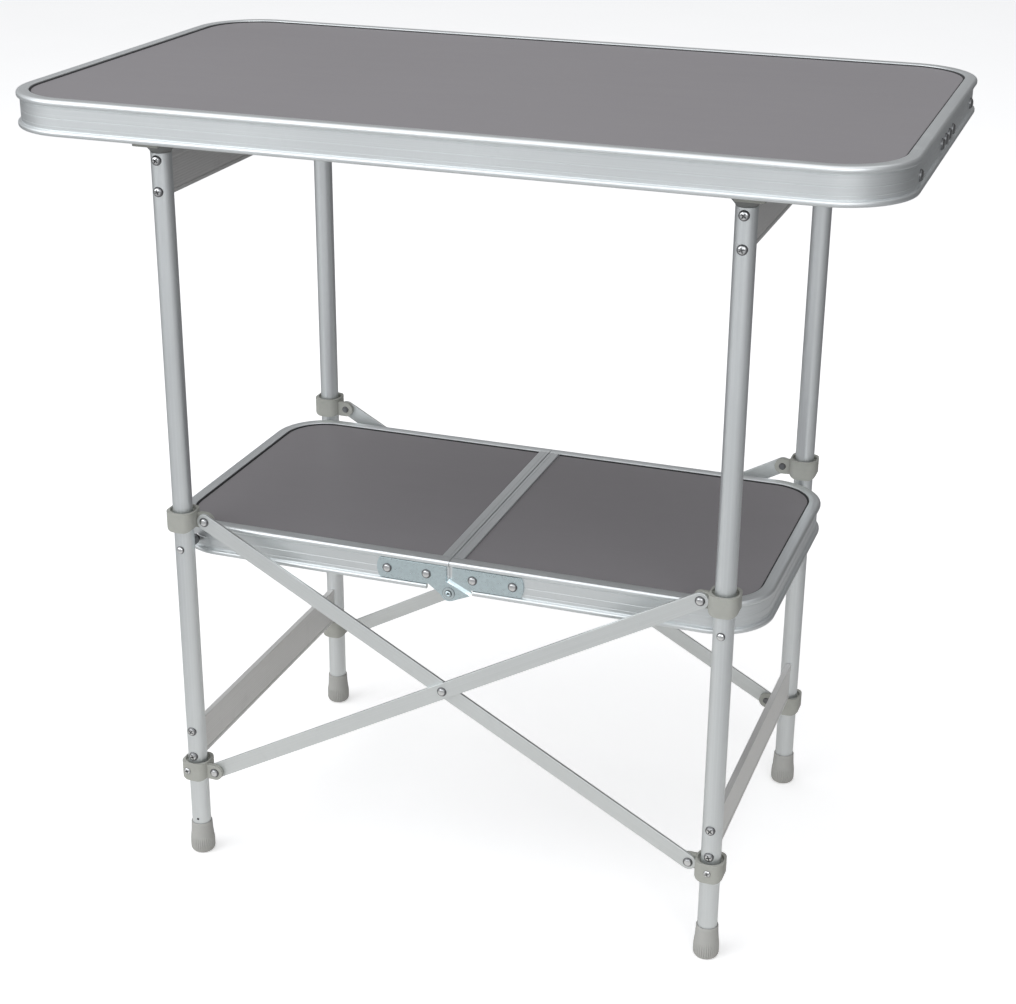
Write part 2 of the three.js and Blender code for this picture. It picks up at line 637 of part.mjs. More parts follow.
function buildHinge(side, sy) {
  const z = HINGE_Z;
  const earDisc = disc(0, z, HINGE_EAR_R, HINGE_EAR_SIDES);
  const plain = leafOutline(-1, [[-LEAF_NECK_X, z + HINGE_LOW], [-HINGE_GAP, z + HINGE_LOW]]);
  const neck = convexHull([...earDisc, [-LEAF_NECK_X, z + HINGE_LOW], [-LEAF_NECK_X, z + LEAF_NECK_HIGH],
    [-HINGE_EAR_R, z + LEAF_NECK_HIGH]]);
  const cutter = plateAt(disc(0, z, PIN_R + GAP, 14), sy, -2, LEAF_IN + 2);
  add(`hinge_leaf_${side}_left`,
    plateAt(plain, sy, LEAF_OUT, LEAF_IN).add(plateAt(neck, sy, LEAF_OUT, LEAF_IN)).subtract(cutter), ZINC);

  // The right leaf steps outwards along a diagonal fold tangent to the ear.
  const inFold = FOLD_NEAR + 0.4;
  const lowEdge = [[22, z + HINGE_LOW], atFold(FOLD_END - 1.5, inFold), atFold(-1.2, inFold)];
  const stepped = leafOutline(1, lowEdge.map(([px, pz]) => [-px, pz]));
  const ear = convexHull([...earDisc, atFold(FOLD_START, FOLD_NEAR), atFold(FOLD_END, FOLD_NEAR),
    atFold(FOLD_START, FOLD_NEAR + 0.5), atFold(FOLD_END, FOLD_NEAR + 0.5)]);
  add(`hinge_leaf_${side}_right`,
    plateAt(stepped, sy, LEAF_OUT, LEAF_IN)
      .add(foldRamp(sy))
      .add(plateAt(ear, sy, LEAF_OUT - JOG, LEAF_OUT - GAP))
      .subtract(cutter), ZINC);

  const out = LEAF_OUT - JOG - HEAD_GAP;
  const inn = LEAF_IN + HEAD_GAP;
  const profile = [
    [0, out - 2.4], [2.6, out - 2.1], [PIN_HEAD_R, out - 1.1], [WASHER_R - 0.8, out - 1.0],
    [WASHER_R, out - 0.5], [WASHER_R, out], [PIN_R, out], [PIN_R, inn], [PIN_TAIL_R, inn],
    [PIN_TAIL_R - 0.4, inn + 1.5], [0, inn + 1.5],
  ].map(([r, d]) => [r, hingeY(sy, d)]);
  add(`hinge_pin_${side}`, turnedY(profile, BORE_SIDES, 0, z), STEEL);
}

// Pivot rivet from the leg into the shelf's web.  The right-hand ones end short of the
// shelf, because that pivot closes the linkage.
const SLEEVE_R = 5;              // spacer between the leg and the shelf
const SLEEVE_CLEAR = 0.4;        // what the right-hand spacers leave free before the shelf
const PIVOT_TAIL_R = 4.3;
function buildShelfPivot(name, sx, sy) {
  const legOut = -TUBE_R;
  const toShelf = LEG_Y - SHELF_HALF_WIDTH;
  const reach = sx < 0 ? toShelf + LEAF_IN : toShelf - SLEEVE_CLEAR;
  const web = reach + WALL_IN - LEAF_IN + GAP;
  const head = [
    [0, legOut - 2.4], [2.2, legOut - 2.1], [PIN_HEAD_R - 0.1, legOut - 1.0],
    [PIN_HEAD_R, legOut - 0.2], [PIN_R, legOut - 0.2],
  ];
  const sleeve = [[PIN_R, TUBE_R + 0.2], [SLEEVE_R, TUBE_R + 0.6]];
  const tail = sx < 0
    ? [[SLEEVE_R, reach], [PIN_R, reach], [PIN_R, web], [PIVOT_TAIL_R, web],
      [PIVOT_TAIL_R - 0.3, web + 1.2], [0, web + 1.2]]
    : [[SLEEVE_R, reach], [0, reach]];
  const profile = [...head, ...sleeve, ...tail].map(([r, layer]) => [r, layerY(sy, layer)]);
  add(name, turnedY(profile, RIVET_SIDES, sx * LEG_X, SHELF_PIVOT_Z), STEEL);
}

// ---- assembly ---------------------------------------------------------------------------
buildTop();
const LEGS = [["fl", -1, -1], ["rl", -1, 1], ["fr", 1, -1], ["rr", 1, 1]];
for (const [tag, sx, sy] of LEGS) {
  const x = sx * LEG_X;
  const y = sy * LEG_Y;
  buildSocket(`top_socket_${tag}`, sx, sy);
  buildTube(`leg_tube_${tag}`, x, y);
  buildCap(`leg_cap_${tag}`, x, y);
  buildFoot(`leg_foot_${tag}`, x, y);
  buildShelfPivot(`shelf_pivot_${tag}`, sx, sy);
}
for (const [side, sx] of [["left", -1], ["right", 1]]) {
  buildCrossbar(`upper_crossbar_${side}`, sx, UPPER_CROSSBAR_Z);
  buildCrossbar(`lower_crossbar_${side}`, sx, LOWER_CROSSBAR_Z);
  buildShelfHalf(side, sx);
}
for (const [side, sy] of [["front", -1], ["rear", 1]]) {
  buildScissor(side, sy);
  buildHinge(side, sy);
}

export default group;
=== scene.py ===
"""Looks of a folding camp kitchen table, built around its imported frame.

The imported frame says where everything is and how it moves.  Each class below takes one
sub-assembly of the table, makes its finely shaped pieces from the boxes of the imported
nodes, and dresses them with procedural finishes.  Units are metres, +Z is up.
"""

import json
import logging
import math
from collections.abc import Callable, Iterable, Sequence
from dataclasses import dataclass, field
from enum import Enum

import bmesh
import bpy
from mathutils import Matrix, Vector


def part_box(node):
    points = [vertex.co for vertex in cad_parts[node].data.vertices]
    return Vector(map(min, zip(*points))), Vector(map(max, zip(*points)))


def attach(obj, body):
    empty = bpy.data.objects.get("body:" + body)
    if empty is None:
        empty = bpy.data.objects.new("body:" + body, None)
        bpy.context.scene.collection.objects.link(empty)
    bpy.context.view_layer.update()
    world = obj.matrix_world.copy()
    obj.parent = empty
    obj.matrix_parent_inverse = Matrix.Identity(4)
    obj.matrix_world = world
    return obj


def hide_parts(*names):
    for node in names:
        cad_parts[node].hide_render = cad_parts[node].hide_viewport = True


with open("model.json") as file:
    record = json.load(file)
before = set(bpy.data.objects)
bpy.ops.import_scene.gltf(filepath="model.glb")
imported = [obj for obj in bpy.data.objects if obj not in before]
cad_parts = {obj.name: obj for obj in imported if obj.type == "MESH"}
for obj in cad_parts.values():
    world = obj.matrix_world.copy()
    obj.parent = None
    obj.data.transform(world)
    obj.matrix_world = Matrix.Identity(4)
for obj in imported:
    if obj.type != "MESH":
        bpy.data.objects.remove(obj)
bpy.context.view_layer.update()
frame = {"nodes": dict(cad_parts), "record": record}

LOG = logging.getLogger("folding_table")
MM = 0.001
GRAIN_MAP = "grain"
CREASE = 32.0
WELD = 0.0005 * MM
COPY_WELD = 0.01 * MM

Colour = tuple[float, float, float]
Point = tuple[float, float]
Place = tuple[float, float, float]
Station = tuple[float, float, float, float]


# --------------------------------------------------------------------------------------
# Shader maths
# --------------------------------------------------------------------------------------


class Signal:
    """A number, vector or colour that varies over a surface: one output socket."""

    def __init__(self, bench: "Bench", socket: bpy.types.NodeSocket) -> None:
        """Wrap a socket that belongs to a bench's node tree."""
        self.bench = bench
        self.socket = socket

    def math(self, operation: str, *others: "float | Signal", clamp: bool = False) -> "Signal":
        """Run one Math node on this signal.

        Args:
            operation: the Math node's operation.
            others: the remaining operands.
            clamp: whether the result is kept between 0 and 1.

        Returns:
            The result as a signal.
        """
        return self.bench.arithmetic(operation, (self, *others), clamp)

    def __add__(self, other: "float | Signal") -> "Signal":
        """Sum."""
        return self.math("ADD", other)

    def __radd__(self, other: float) -> "Signal":
        """Sum with a number on the left."""
        return self.math("ADD", other)

    def __sub__(self, other: "float | Signal") -> "Signal":
        """Difference."""
        return self.math("SUBTRACT", other)

    def __rsub__(self, other: float) -> "Signal":
        """Difference with a number on the left."""
        return self.bench.arithmetic("SUBTRACT", (other, self))

    def __mul__(self, other: "float | Signal") -> "Signal":
        """Product."""
        return self.math("MULTIPLY", other)

    def __rmul__(self, other: float) -> "Signal":
        """Product with a number on the left."""
        return self.math("MULTIPLY", other)

    def __truediv__(self, other: "float | Signal") -> "Signal":
        """Quotient."""
        return self.math("DIVIDE", other)

    def __rtruediv__(self, other: float) -> "Signal":
        """Quotient of a number by this signal."""
        return self.bench.arithmetic("DIVIDE", (other, self))

    def clamped(self) -> "Signal":
        """Keep between 0 and 1."""
        return self.math("ADD", 0.0, clamp=True)

    def step(self, low: float, high: float) -> "Signal":
        """Rise linearly from 0 at low to 1 at high (or fall, when high is below low)."""
        return ((self - low) / (high - low)).clamped()

    def __abs__(self) -> "Signal":
        """Size without sign."""
        return self.math("ABSOLUTE")


class Bench:
    """A material or the surroundings under construction: a node tree and makers of nodes."""

    def __init__(self, owner: "bpy.types.Material | bpy.types.World") -> None:
        """Empty the owner's node tree.

        Args:
            owner: the material or the surroundings.
        """
        self.owner = owner
        self.owner.use_nodes = True
        self.tree = self.owner.node_tree
        self.tree.nodes.clear()

    @classmethod
    def of(cls, name: str) -> "Bench":
        """Start an empty material."""
        return cls(bpy.data.materials.new(name))

    def node(
        self,
        kind: str,
        settings: dict[str, object] | None = None,
        **values: object,
    ) -> bpy.types.Node:
        """Add a node.

        Args:
            kind: the node's type name without the ShaderNode prefix.
            settings: properties of the node, or a ramp's stops, set before its sockets.
            values: values or links, by socket name with spaces as underscores, or by
                index as _0, _1 and so on.

        Returns:
            The new node.
        """
        made = self.tree.nodes.new("ShaderNode" + kind)
        for key, value in (settings or {}).items():
            if key == "stops":
                self.set_stops(made.color_ramp.elements, value)
            else:
                setattr(made, key, value)
        for key, value in values.items():
            where = int(key[1:]) if key.startswith("_") else key.replace("_", " ")
            self.feed(made.inputs[where], value)
        return made

    def set_stops(
        self, elements: bpy.types.ColorRampElements, stops: Sequence[tuple[float, "Colour"]]
    ) -> None:
        """Set a ramp's stops, each a place and a colour, in rising order.

        Args:
            elements: the ramp's stops.
            stops: the places and colours.
        """
        elements[0].position, elements[1].position = stops[0][0], stops[-1][0]
        for place, _ in stops[1:-1]:
            elements.new(place)
        for element, (_, colour) in zip(elements, stops):
            element.color = (*colour, 1.0)

    def feed(self, socket: bpy.types.NodeSocket, value: object) -> None:
        """Give a socket a constant, or link a signal, a socket or a node's first output to it.

        Args:
            socket: the socket.
            value: the constant, or what is linked.
        """
        if isinstance(value, bpy.types.Node):
            value = value.outputs[0]
        elif isinstance(value, Signal):
            value = value.socket
        if isinstance(value, bpy.types.NodeSocket):
            self.tree.links.new(value, socket)
        else:
            socket.default_value = value

    def arithmetic(
        self, operation: str, operands: Sequence["float | Signal"], clamp: bool = False
    ) -> Signal:
        """Add a Math node over the operands.

        Args:
            operation: the Math node's operation.
            operands: its operands in order.
            clamp: whether the result is kept between 0 and 1.

        Returns:
            The result as a signal.
        """
        made = self.node("Math", {"operation": operation, "use_clamp": clamp})
        for socket, value in zip(made.inputs, operands):
            self.feed(socket, value)
        return Signal(self, made.outputs[0])

    def along_grain(self, lengthwise: float, crosswise: float) -> Signal:
        """Coordinates in the metal's drawn direction, scaled separately per direction.

        Args:
            lengthwise: scale along the piece.
            crosswise: scale across it.

        Returns:
            A vector signal.
        """
        grain = self.node("UVMap", {"uv_map": GRAIN_MAP})
        return self.scaled(Signal(self, grain.outputs["UV"]), (lengthwise, crosswise, 1.0))

    def in_object(self, scale: Sequence[float] = (1.0, 1.0, 1.0)) -> Signal:
        """The table's own coordinates in metres, scaled per axis."""
        where = self.node("TexCoord")
        return self.scaled(Signal(self, where.outputs["Object"]), scale)

    def scaled(self, vector: Signal, scale: Sequence[float]) -> Signal:
        """Multiply a vector by constants, one per axis."""
        made = self.node("VectorMath", {"operation": "MULTIPLY"}, _0=vector, _1=tuple(scale))
        return Signal(self, made.outputs[0])

    def axis(self, vector: Signal, name: str) -> Signal:
        """One component (X, Y or Z) of a vector."""
        made = self.node("SeparateXYZ", None, _0=vector)
        return Signal(self, made.outputs[name])

    def noise(
        self, where: Signal, scale: float, detail: float = 2.0, roughness: float = 0.5
    ) -> Signal:
        """Smooth noise between 0 and 1.

        Args:
            where: coordinates.
            scale: features per unit.
            detail: finer layers.
            roughness: strength of the finer layers.

        Returns:
            A signal.
        """
        made = self.node(
            "TexNoise",
            {"normalize": True},
            Vector=where,
            Scale=scale,
            Detail=detail,
            Roughness=roughness,
        )
        return Signal(self, made.outputs[0])

    def cells(self, where: Signal, scale: float) -> Signal:
        """Distance to the nearest of scattered points, 0 at a point."""
        made = self.node("TexVoronoi", {"feature": "F1"}, Vector=where, Scale=scale)
        return Signal(self, made.outputs["Distance"])

    def mix(self, factor: "float | Signal", first: object, second: object) -> Signal:
        """Mix two colours, each a triple or a signal.

        Args:
            factor: share of the second colour.
            first: the first colour.
            second: the second colour.

        Returns:
            A colour signal.
        """
        made = self.node("Mix", {"data_type": "RGBA"})
        self.feed(made.inputs[0], factor)
        for index, colour in ((6, first), (7, second)):
            self.feed(made.inputs[index], colour if isinstance(colour, Signal) else (*colour, 1.0))
        return Signal(self, made.outputs[2])

    def bump(self, height: Signal, distance: float, strength: float = 1.0) -> Signal:
        """Normal of a surface raised by height times distance."""
        made = self.node("Bump", None, Strength=strength, Distance=distance, Height=height)
        return Signal(self, made.outputs[0])

    def surface(self, **values: object) -> bpy.types.Material:
        """Close the material with one Principled surface.

        Args:
            values: values or signals of the Principled node's sockets.

        Returns:
            The finished material.
        """
        self.node("OutputMaterial", None, Surface=self.node("BsdfPrincipled", None, **values))
        return self.owner


def shaded(colour: Colour, share: float) -> Colour:
    """A colour times a number, no brighter than 1."""
    return tuple(min(1.0, c * share) for c in colour)


@dataclass(frozen=True)
class DrawnAluminium:
    """Satin anodised aluminium with fine lines along the drawn length."""

    name: str = "drawn_aluminium"
    colour: Colour = (0.78, 0.81, 0.82)
    roughness: float = 0.34
    metallic: float = 0.94
    line_depth: float = 0.012 * MM
    line_pitch: float = 0.9 * MM
    rubbed_colour: Colour = (0.78, 0.79, 0.8)

    def make(self) -> bpy.types.Material:
        """Build the material.

        Returns:
            The material.
        """
        bench = Bench.of(self.name)
        lines = bench.noise(bench.along_grain(1.2, 1.0 / self.line_pitch), 1.0, 3.0, 0.6)
        hair = bench.noise(bench.along_grain(6.0, 4.0 / self.line_pitch), 1.0, 2.0, 0.55)
        cloud = bench.noise(bench.in_object(), 9.0, 3.0, 0.55)
        handling = bench.noise(bench.in_object((1.0, 1.0, 0.6)), 38.0, 4.0, 0.65).step(0.56, 0.74)
        nicks = bench.cells(bench.along_grain(40.0, 260.0), 1.0).step(0.10, 0.05)
        rubbed = nicks * bench.noise(bench.in_object(), 22.0, 2.0).step(0.5, 0.62)
        light = shaded(self.colour, 1.09)
        dark = shaded(self.colour, 0.86)
        base = bench.mix(lines * 0.75 + cloud * 0.25, dark, light)
        base = bench.mix(handling * 0.16, base, shaded(self.colour, 0.78))
        base = bench.mix(rubbed * 0.5, base, self.rubbed_colour)
        rough = self.roughness + lines * 0.10 + handling * 0.07 + cloud * 0.06 - rubbed * 0.12
        normal = bench.bump(lines * 0.6 + hair * 0.4 - rubbed * 0.5, self.line_depth)
        return bench.surface(
            Base_Color=base, Metallic=self.metallic, Roughness=rough, Normal=normal
        )


@dataclass(frozen=True)
class Laminate:
    """Printed laminate board: fine leathery grain with a low sheen."""

    name: str
    colour: Colour
    roughness: float = 0.5
    sheen: float = 0.34
    grain: float = 0.03 * MM

    def make(self) -> bpy.types.Material:
        """Build the material.

        Returns:
            The material.
        """
        bench = Bench.of(self.name)
        pebble = bench.noise(bench.in_object(), 1500.0, 2.0, 0.6)
        fibre = bench.noise(bench.in_object((60.0, 900.0, 60.0)), 1.0, 3.0, 0.6)
        cloud = bench.noise(bench.in_object(), 5.0, 3.0, 0.5)
        wiped = bench.noise(bench.in_object((3.0, 9.0, 3.0)), 2.2, 4.0, 0.6)
        specks = bench.cells(bench.in_object(), 110.0).step(0.07, 0.04)
        light = shaded(self.colour, 1.10)
        dark = shaded(self.colour, 0.90)
        base = bench.mix(cloud * 0.35 + pebble * 0.35 + fibre * 0.3, dark, light)
        base = bench.mix(specks * 0.10, base, shaded(self.colour, 1.7))
        rough = self.roughness + wiped * 0.12 - 0.06 + pebble * 0.08
        normal = bench.bump(pebble * 0.8 + fibre * 0.2, self.grain, 0.6)
        return bench.surface(
            Base_Color=base, Roughness=rough, Normal=normal, Specular_IOR_Level=self.sheen
        )


@dataclass(frozen=True)
class MouldedPlastic:
    """Grey moulded plastic with a fine spark texture and rubbed high spots."""

    name: str
    colour: Colour
    roughness: float = 0.5
    sheen: float = 0.45
    spark: float = 0.02 * MM

    def make(self) -> bpy.types.Material:
        """Build the material.

        Returns:
            The material.
        """
        bench = Bench.of(self.name)
        spark = bench.noise(bench.in_object(), 2600.0, 2.0, 0.6)
        flow = bench.noise(bench.in_object((1.0, 1.0, 2.5)), 60.0, 3.0, 0.55)
        grime = bench.noise(bench.in_object(), 130.0, 4.0, 0.65).step(0.52, 0.72)
        light = shaded(self.colour, 1.08)
        dark = shaded(self.colour, 0.90)
        base = bench.mix(flow * 0.7 + spark * 0.3, dark, light)
        base = bench.mix(grime * 0.22, base, shaded(self.colour, 0.7))
        rough = self.roughness + spark * 0.10 + flow * 0.08 + grime * 0.06
        normal = bench.bump(spark, self.spark, 0.7)
        return bench.surface(
            Base_Color=base, Roughness=rough, Normal=normal, Specular_IOR_Level=self.sheen
        )


@dataclass(frozen=True)
class RingedRubber:
    """Grey foot rubber, dusty near the ground."""

    name: str = "foot_rubber"
    colour: Colour = (0.40, 0.40, 0.385)
    roughness: float = 0.66
    sheen: float = 0.3
    pores: float = 0.04 * MM
    dust_height: float = 10 * MM
    dust_colour: Colour = (0.36, 0.35, 0.32)

    def make(self) -> bpy.types.Material:
        """Build the material.

        Returns:
            The material.
        """
        bench = Bench.of(self.name)
        pores = bench.noise(bench.in_object(), 1900.0, 3.0, 0.6)
        patches = bench.noise(bench.in_object(), 150.0, 4.0, 0.6)
        low = bench.axis(bench.in_object(), "Z").step(self.dust_height, 0.0)
        dust = (low * 0.7 + patches.step(0.45, 0.7) * 0.35).clamped()
        light = shaded(self.colour, 1.10)
        dark = shaded(self.colour, 0.88)
        base = bench.mix(pores * 0.4 + patches * 0.6, dark, light)
        base = bench.mix(dust * 0.4, base, self.dust_colour)
        rough = self.roughness + pores * 0.14 + dust * 0.1
        normal = bench.bump(pores, self.pores, 0.8)
        return bench.surface(
            Base_Color=base, Roughness=rough, Normal=normal, Specular_IOR_Level=self.sheen
        )


@dataclass(frozen=True)
class PlatedSteel:
    """Plated steel: bright for rivets and screws, bluish zinc for the hinge leaves, optional
    painted shade bands.
    """

    name: str
    colour: Colour
    roughness: float
    spangle: float = 0.0
    grime: float = 0.35
    # painted shade: bands of distance run along a turned head's profile, darkened to stand in for
    # shade on the head
    dull: tuple[tuple[float, float], ...] = ()
    dull_colour: Colour = (0.13, 0.133, 0.138)
    dull_edge: float = 0.7 * MM
    texture: float = 0.006 * MM

    def dull_rings(self, bench: Bench) -> Signal:
        """Mask of the painted shade bands, by the distance run from the middle of a turned head.

        Args:
            bench: the material under construction.

        Returns:
            A signal, 1 on a painted shade band.
        """
        run = abs(bench.axis(bench.along_grain(1.0, 1.0), "X"))
        mask = run * 0.0
        for start, stop in self.dull:
            inside = run.step(start - self.dull_edge, start) * run.step(stop + self.dull_edge, stop)
            mask = mask + inside
        return mask.clamped()

    def make(self) -> bpy.types.Material:
        """Build the material.

        Returns:
            The material.
        """
        bench = Bench.of(self.name)
        mottle = bench.noise(bench.in_object(), 240.0, 3.0, 0.6)
        fine = bench.noise(bench.in_object(), 1400.0, 2.0, 0.5)
        flakes = bench.cells(bench.in_object(), 420.0)
        soiled = bench.noise(bench.in_object(), 330.0, 4.0, 0.7).step(0.5, 0.75)
        light = shaded(self.colour, 1.07)
        dark = shaded(self.colour, 0.84)
        base = bench.mix(mottle * 0.7 + flakes * self.spangle, dark, light)
        base = bench.mix(soiled * self.grime, base, shaded(self.colour, 0.45))
        rough = self.roughness * (0.75 + mottle * 0.6) + soiled * 0.08
        rough = rough + flakes * (0.25 * self.spangle)
        # painted shade: darken the bands and make them rougher
        if self.dull:
            rings = self.dull_rings(bench)
            base = bench.mix(rings * 0.9, base, self.dull_colour)
            rough = rough + rings * 0.3
        normal = bench.bump(fine * 0.6 + mottle * 0.4, self.texture)
        return bench.surface(Base_Color=base, Metallic=1.0, Roughness=rough, Normal=normal)


@dataclass(frozen=True)
class DarkSeal:
    """Near-black finish: on the strip that paints the shade line between the lip and the board, and
    on the feet's pins.
    """

    name: str = "edge_seal"
    dark: Colour = (0.008, 0.008, 0.009)
    light: Colour = (0.024, 0.024, 0.026)
    roughness: float = 0.5

    def make(self) -> bpy.types.Material:
        """Build the material.

        Returns:
            The material.
        """
        bench = Bench.of(self.name)
        patches = bench.noise(bench.in_object(), 400.0, 3.0, 0.6)
        base = bench.mix(patches, self.dark, self.light)
        return bench.surface(Base_Color=base, Roughness=self.roughness + patches * 0.3)


class Finish(Enum):
    """The finishes of the table, by what they cover."""

    ALUMINIUM = DrawnAluminium()
    BAR_ALUMINIUM = DrawnAluminium("bar_aluminium", (0.74, 0.765, 0.765), 0.38)
    CROSSBAR_ALUMINIUM = DrawnAluminium("crossbar_aluminium", (0.82, 0.82, 0.81), 0.58)
    TOP_BOARD = Laminate("top_laminate", (0.236, 0.226, 0.237), 0.5)
    SHELF_BOARD = Laminate("shelf_laminate", (0.232, 0.222, 0.232), 0.46)
    COLLAR = MouldedPlastic("collar_plastic", (0.37, 0.375, 0.345), 0.5)
    CAP = MouldedPlastic("cap_plastic", (0.20, 0.205, 0.20), 0.5)
    FOOT = RingedRubber()
    ZINC = PlatedSteel("zinc_steel", (0.70, 0.82, 0.855), 0.26, 0.13, 0.16)
    # rivet and screw heads: painted shade from 3.6 mm along the profile outwards, over the head's
    # rim and seat
    BRIGHT = PlatedSteel("rivet_steel", (0.86, 0.87, 0.88), 0.06, dull=((3.6 * MM, 10.0),))
    # hinge pin: painted shade in the head's hollow, on the head's side above the washer and from
    # the washer's edge on
    PIN_ZINC = PlatedSteel(
        "pin_zinc", (0.72, 0.82, 0.85), 0.16, 0.1, 0.2,
        dull=((-1.0, 1.0 * MM), (4.3 * MM, 5.3 * MM), (8.2 * MM, 10.0)),
    )
    # near-black: the strips of painted shade at the boards' edges, and the feet's pins
    SEAL = DarkSeal()


class Palette:
    """Makes each finish once and hands it out."""

    def __init__(self) -> None:
        """Start with no material made."""
        self.made: dict[Finish, bpy.types.Material] = {}

    def get(self, finish: Finish) -> bpy.types.Material:
        """The finish's material.

        Args:
            finish: the finish.

        Returns:
            Its material.
        """
        if finish not in self.made:
            self.made[finish] = finish.value.make()
        return self.made[finish]


PALETTE = Palette()


# --------------------------------------------------------------------------------------
# Shapes
# --------------------------------------------------------------------------------------


class Along(Enum):
    """Axis of a turned piece or of an extruded outline's depth."""

    X = "x"
    Y = "y"
    Z = "z"

    def place(self, a: float, b: float, along: float) -> Vector:
        """Point with a and b across the axis and along on it.

        Args:
            a: x of an outline, or y where the axis is x.
            b: the other coordinate across the axis.
            along: place on the axis.

        Returns:
            The point in the table's frame.
        """
        return {
            Along.X: Vector((along, a, b)),
            Along.Y: Vector((a, along, b)),
            Along.Z: Vector((a, b, along)),
        }[self]


@dataclass
class Shape:
    """A growing mesh: vertices, faces and the grain coordinates of each face corner."""

    verts: list[Vector] = field(default_factory=list)
    faces: list[tuple[int, ...]] = field(default_factory=list)
    grain: list[tuple[Point, ...]] = field(default_factory=list)

    def grid(
        self,
        rows: Sequence[Sequence[Vector]],
        lengths: Sequence[float],
        girths: Sequence[float],
        closed_rows: bool,
        closed_columns: bool,
    ) -> None:
        """Skin a grid of points with quads.

        Args:
            rows: sections one after another, each with the same number of points.
            lengths: place of each section along the piece, one more if rows close.
            girths: place of each point around the section, one more if columns close.
            closed_rows: whether the last section joins the first.
            closed_columns: whether a section's last point joins its first.
        """
        start = len(self.verts)
        width = len(rows[0])
        for row in rows:
            self.verts.extend(row)
        for i in range(len(rows) if closed_rows else len(rows) - 1):
            j = (i + 1) % len(rows)
            for k in range(width if closed_columns else width - 1):
                m = (k + 1) % width
                corners = (i * width + k, j * width + k, j * width + m, i * width + m)
                self.faces.append(tuple(start + c for c in corners))
                u0, u1 = lengths[i], lengths[i + 1]
                v0, v1 = girths[k], girths[k + 1]
                self.grain.append(((u0, v0), (u1, v0), (u1, v1), (u0, v1)))

    def cap(self, ring: Sequence[Vector], across: Callable[[Vector], Point]) -> None:
        """Close a ring of points with one face; across gives a point's grain place.

        Args:
            ring: the points.
            across: gives a point's grain place.
        """
        start = len(self.verts)
        self.verts.extend(ring)
        self.faces.append(tuple(range(start, start + len(ring))))
        self.grain.append(tuple(across(p) for p in ring))

    def mesh(self, name: str) -> bpy.types.Mesh:
        """Weld, turn outwards and return the mesh, smooth below the crease angle.

        Args:
            name: the mesh's name.

        Returns:
            The mesh.
        """
        made = bpy.data.meshes.new(name)
        made.from_pydata([tuple(v) for v in self.verts], [], self.faces)
        layer = made.uv_layers.new(name=GRAIN_MAP)
        flat = [uv for face in self.grain for uv in face]
        for loop, uv in zip(layer.data, flat):
            loop.uv = uv
        work = bmesh.new()
        work.from_mesh(made)
        bmesh.ops.remove_doubles(work, verts=work.verts, dist=WELD)
        bmesh.ops.dissolve_degenerate(work, edges=work.edges, dist=WELD)
        bmesh.ops.recalc_face_normals(work, faces=work.faces)
        work.to_mesh(made)
        work.free()
        made.shade_smooth()
        crease(made)
        return made


def crease(mesh: bpy.types.Mesh, angle: float = CREASE) -> None:
    """Mark edges sharper than an angle in degrees, and leave the rest smooth."""
    mesh.set_sharp_from_angle(angle=math.radians(angle))


def arc(centre: Point, radius: float, start: float, end: float, steps: int) -> list[Point]:
    """Points along an arc.

    Args:
        centre: middle of the arc.
        radius: its radius.
        start: first angle in degrees.
        end: last angle in degrees.
        steps: number of chords.

    Returns:
        The points, ends included.
    """
    out = []
    for i in range(steps + 1):
        turn = math.radians(start + (end - start) * i / steps)
        out.append((centre[0] + radius * math.cos(turn), centre[1] + radius * math.sin(turn)))
    return out


def circle(centre: Point, radius: float, steps: int) -> list[Point]:
    """Points of a full circle, the first not repeated."""
    return arc(centre, radius, 0.0, 360.0, steps)[:-1]


def hull(points: Iterable[Point]) -> list[Point]:
    """Convex outline around points, anticlockwise.

    Args:
        points: the points.

    Returns:
        The outline.
    """
    ordered = sorted(set(points))

    def half(run: Iterable[Point]) -> list[Point]:
        """One side of the outline.

        Args:
            run: points in order.

        Returns:
            The outer points of that side.
        """
        out: list[Point] = []
        for q in run:
            while len(out) > 1:
                (ox, oy), (ax, ay) = out[-2], out[-1]
                if (ax - ox) * (q[1] - oy) - (ay - oy) * (q[0] - ox) > 1e-12:
                    break
                out.pop()
            out.append(q)
        return out[:-1]

    return half(ordered) + half(reversed(ordered))


def running(points: Sequence[Sequence[float]], closed: bool) -> list[float]:
    """Distance run at each point, with the way back to the first if closed.

    Args:
        points: the points.
        closed: whether the way back to the first is added.

    Returns:
        The distances, from 0.
    """
    chain = list(points) + ([points[0]] if closed else [])
    out = [0.0]
    for a, b in zip(chain, chain[1:]):
        out.append(out[-1] + math.dist(a[:2], b[:2]))
    return out


def turned(
    profile: Sequence[Point],
    centre: Point,
    along: Along,
    steps: int = 48,
    flutes: Callable[[float, float], float] | None = None,
) -> Shape:
    """Turn a profile about an axis.

    Args:
        profile: (radius, place along the axis) points; radius 0 closes an end.
        centre: the axis' two coordinates across it.
        along: direction of the axis.
        steps: facets around.
        flutes: change of radius by (place along the axis, angle), if the piece is fluted.

    Returns:
        The turned shape.
    """
    rows = []
    for i in range(steps):
        turn = 2 * math.pi * i / steps
        row = []
        for radius, place in profile:
            r = radius + (flutes(place, turn) if flutes and radius > 0 else 0.0)
            a, b = centre[0] + r * math.cos(turn), centre[1] + r * math.sin(turn)
            row.append(along.place(a, b, place))
        rows.append(row)
    widest = max(r for r, _ in profile)
    around = [2 * math.pi * widest * i / steps for i in range(steps + 1)]
    lengths = running(profile, False)
    out = Shape()
    out.grid(rows, around, lengths, True, False)
    out.grain = [tuple((v, u) for u, v in face) for face in out.grain]
    return out


LENGTHWISE: Point = (0.0, 0.0)


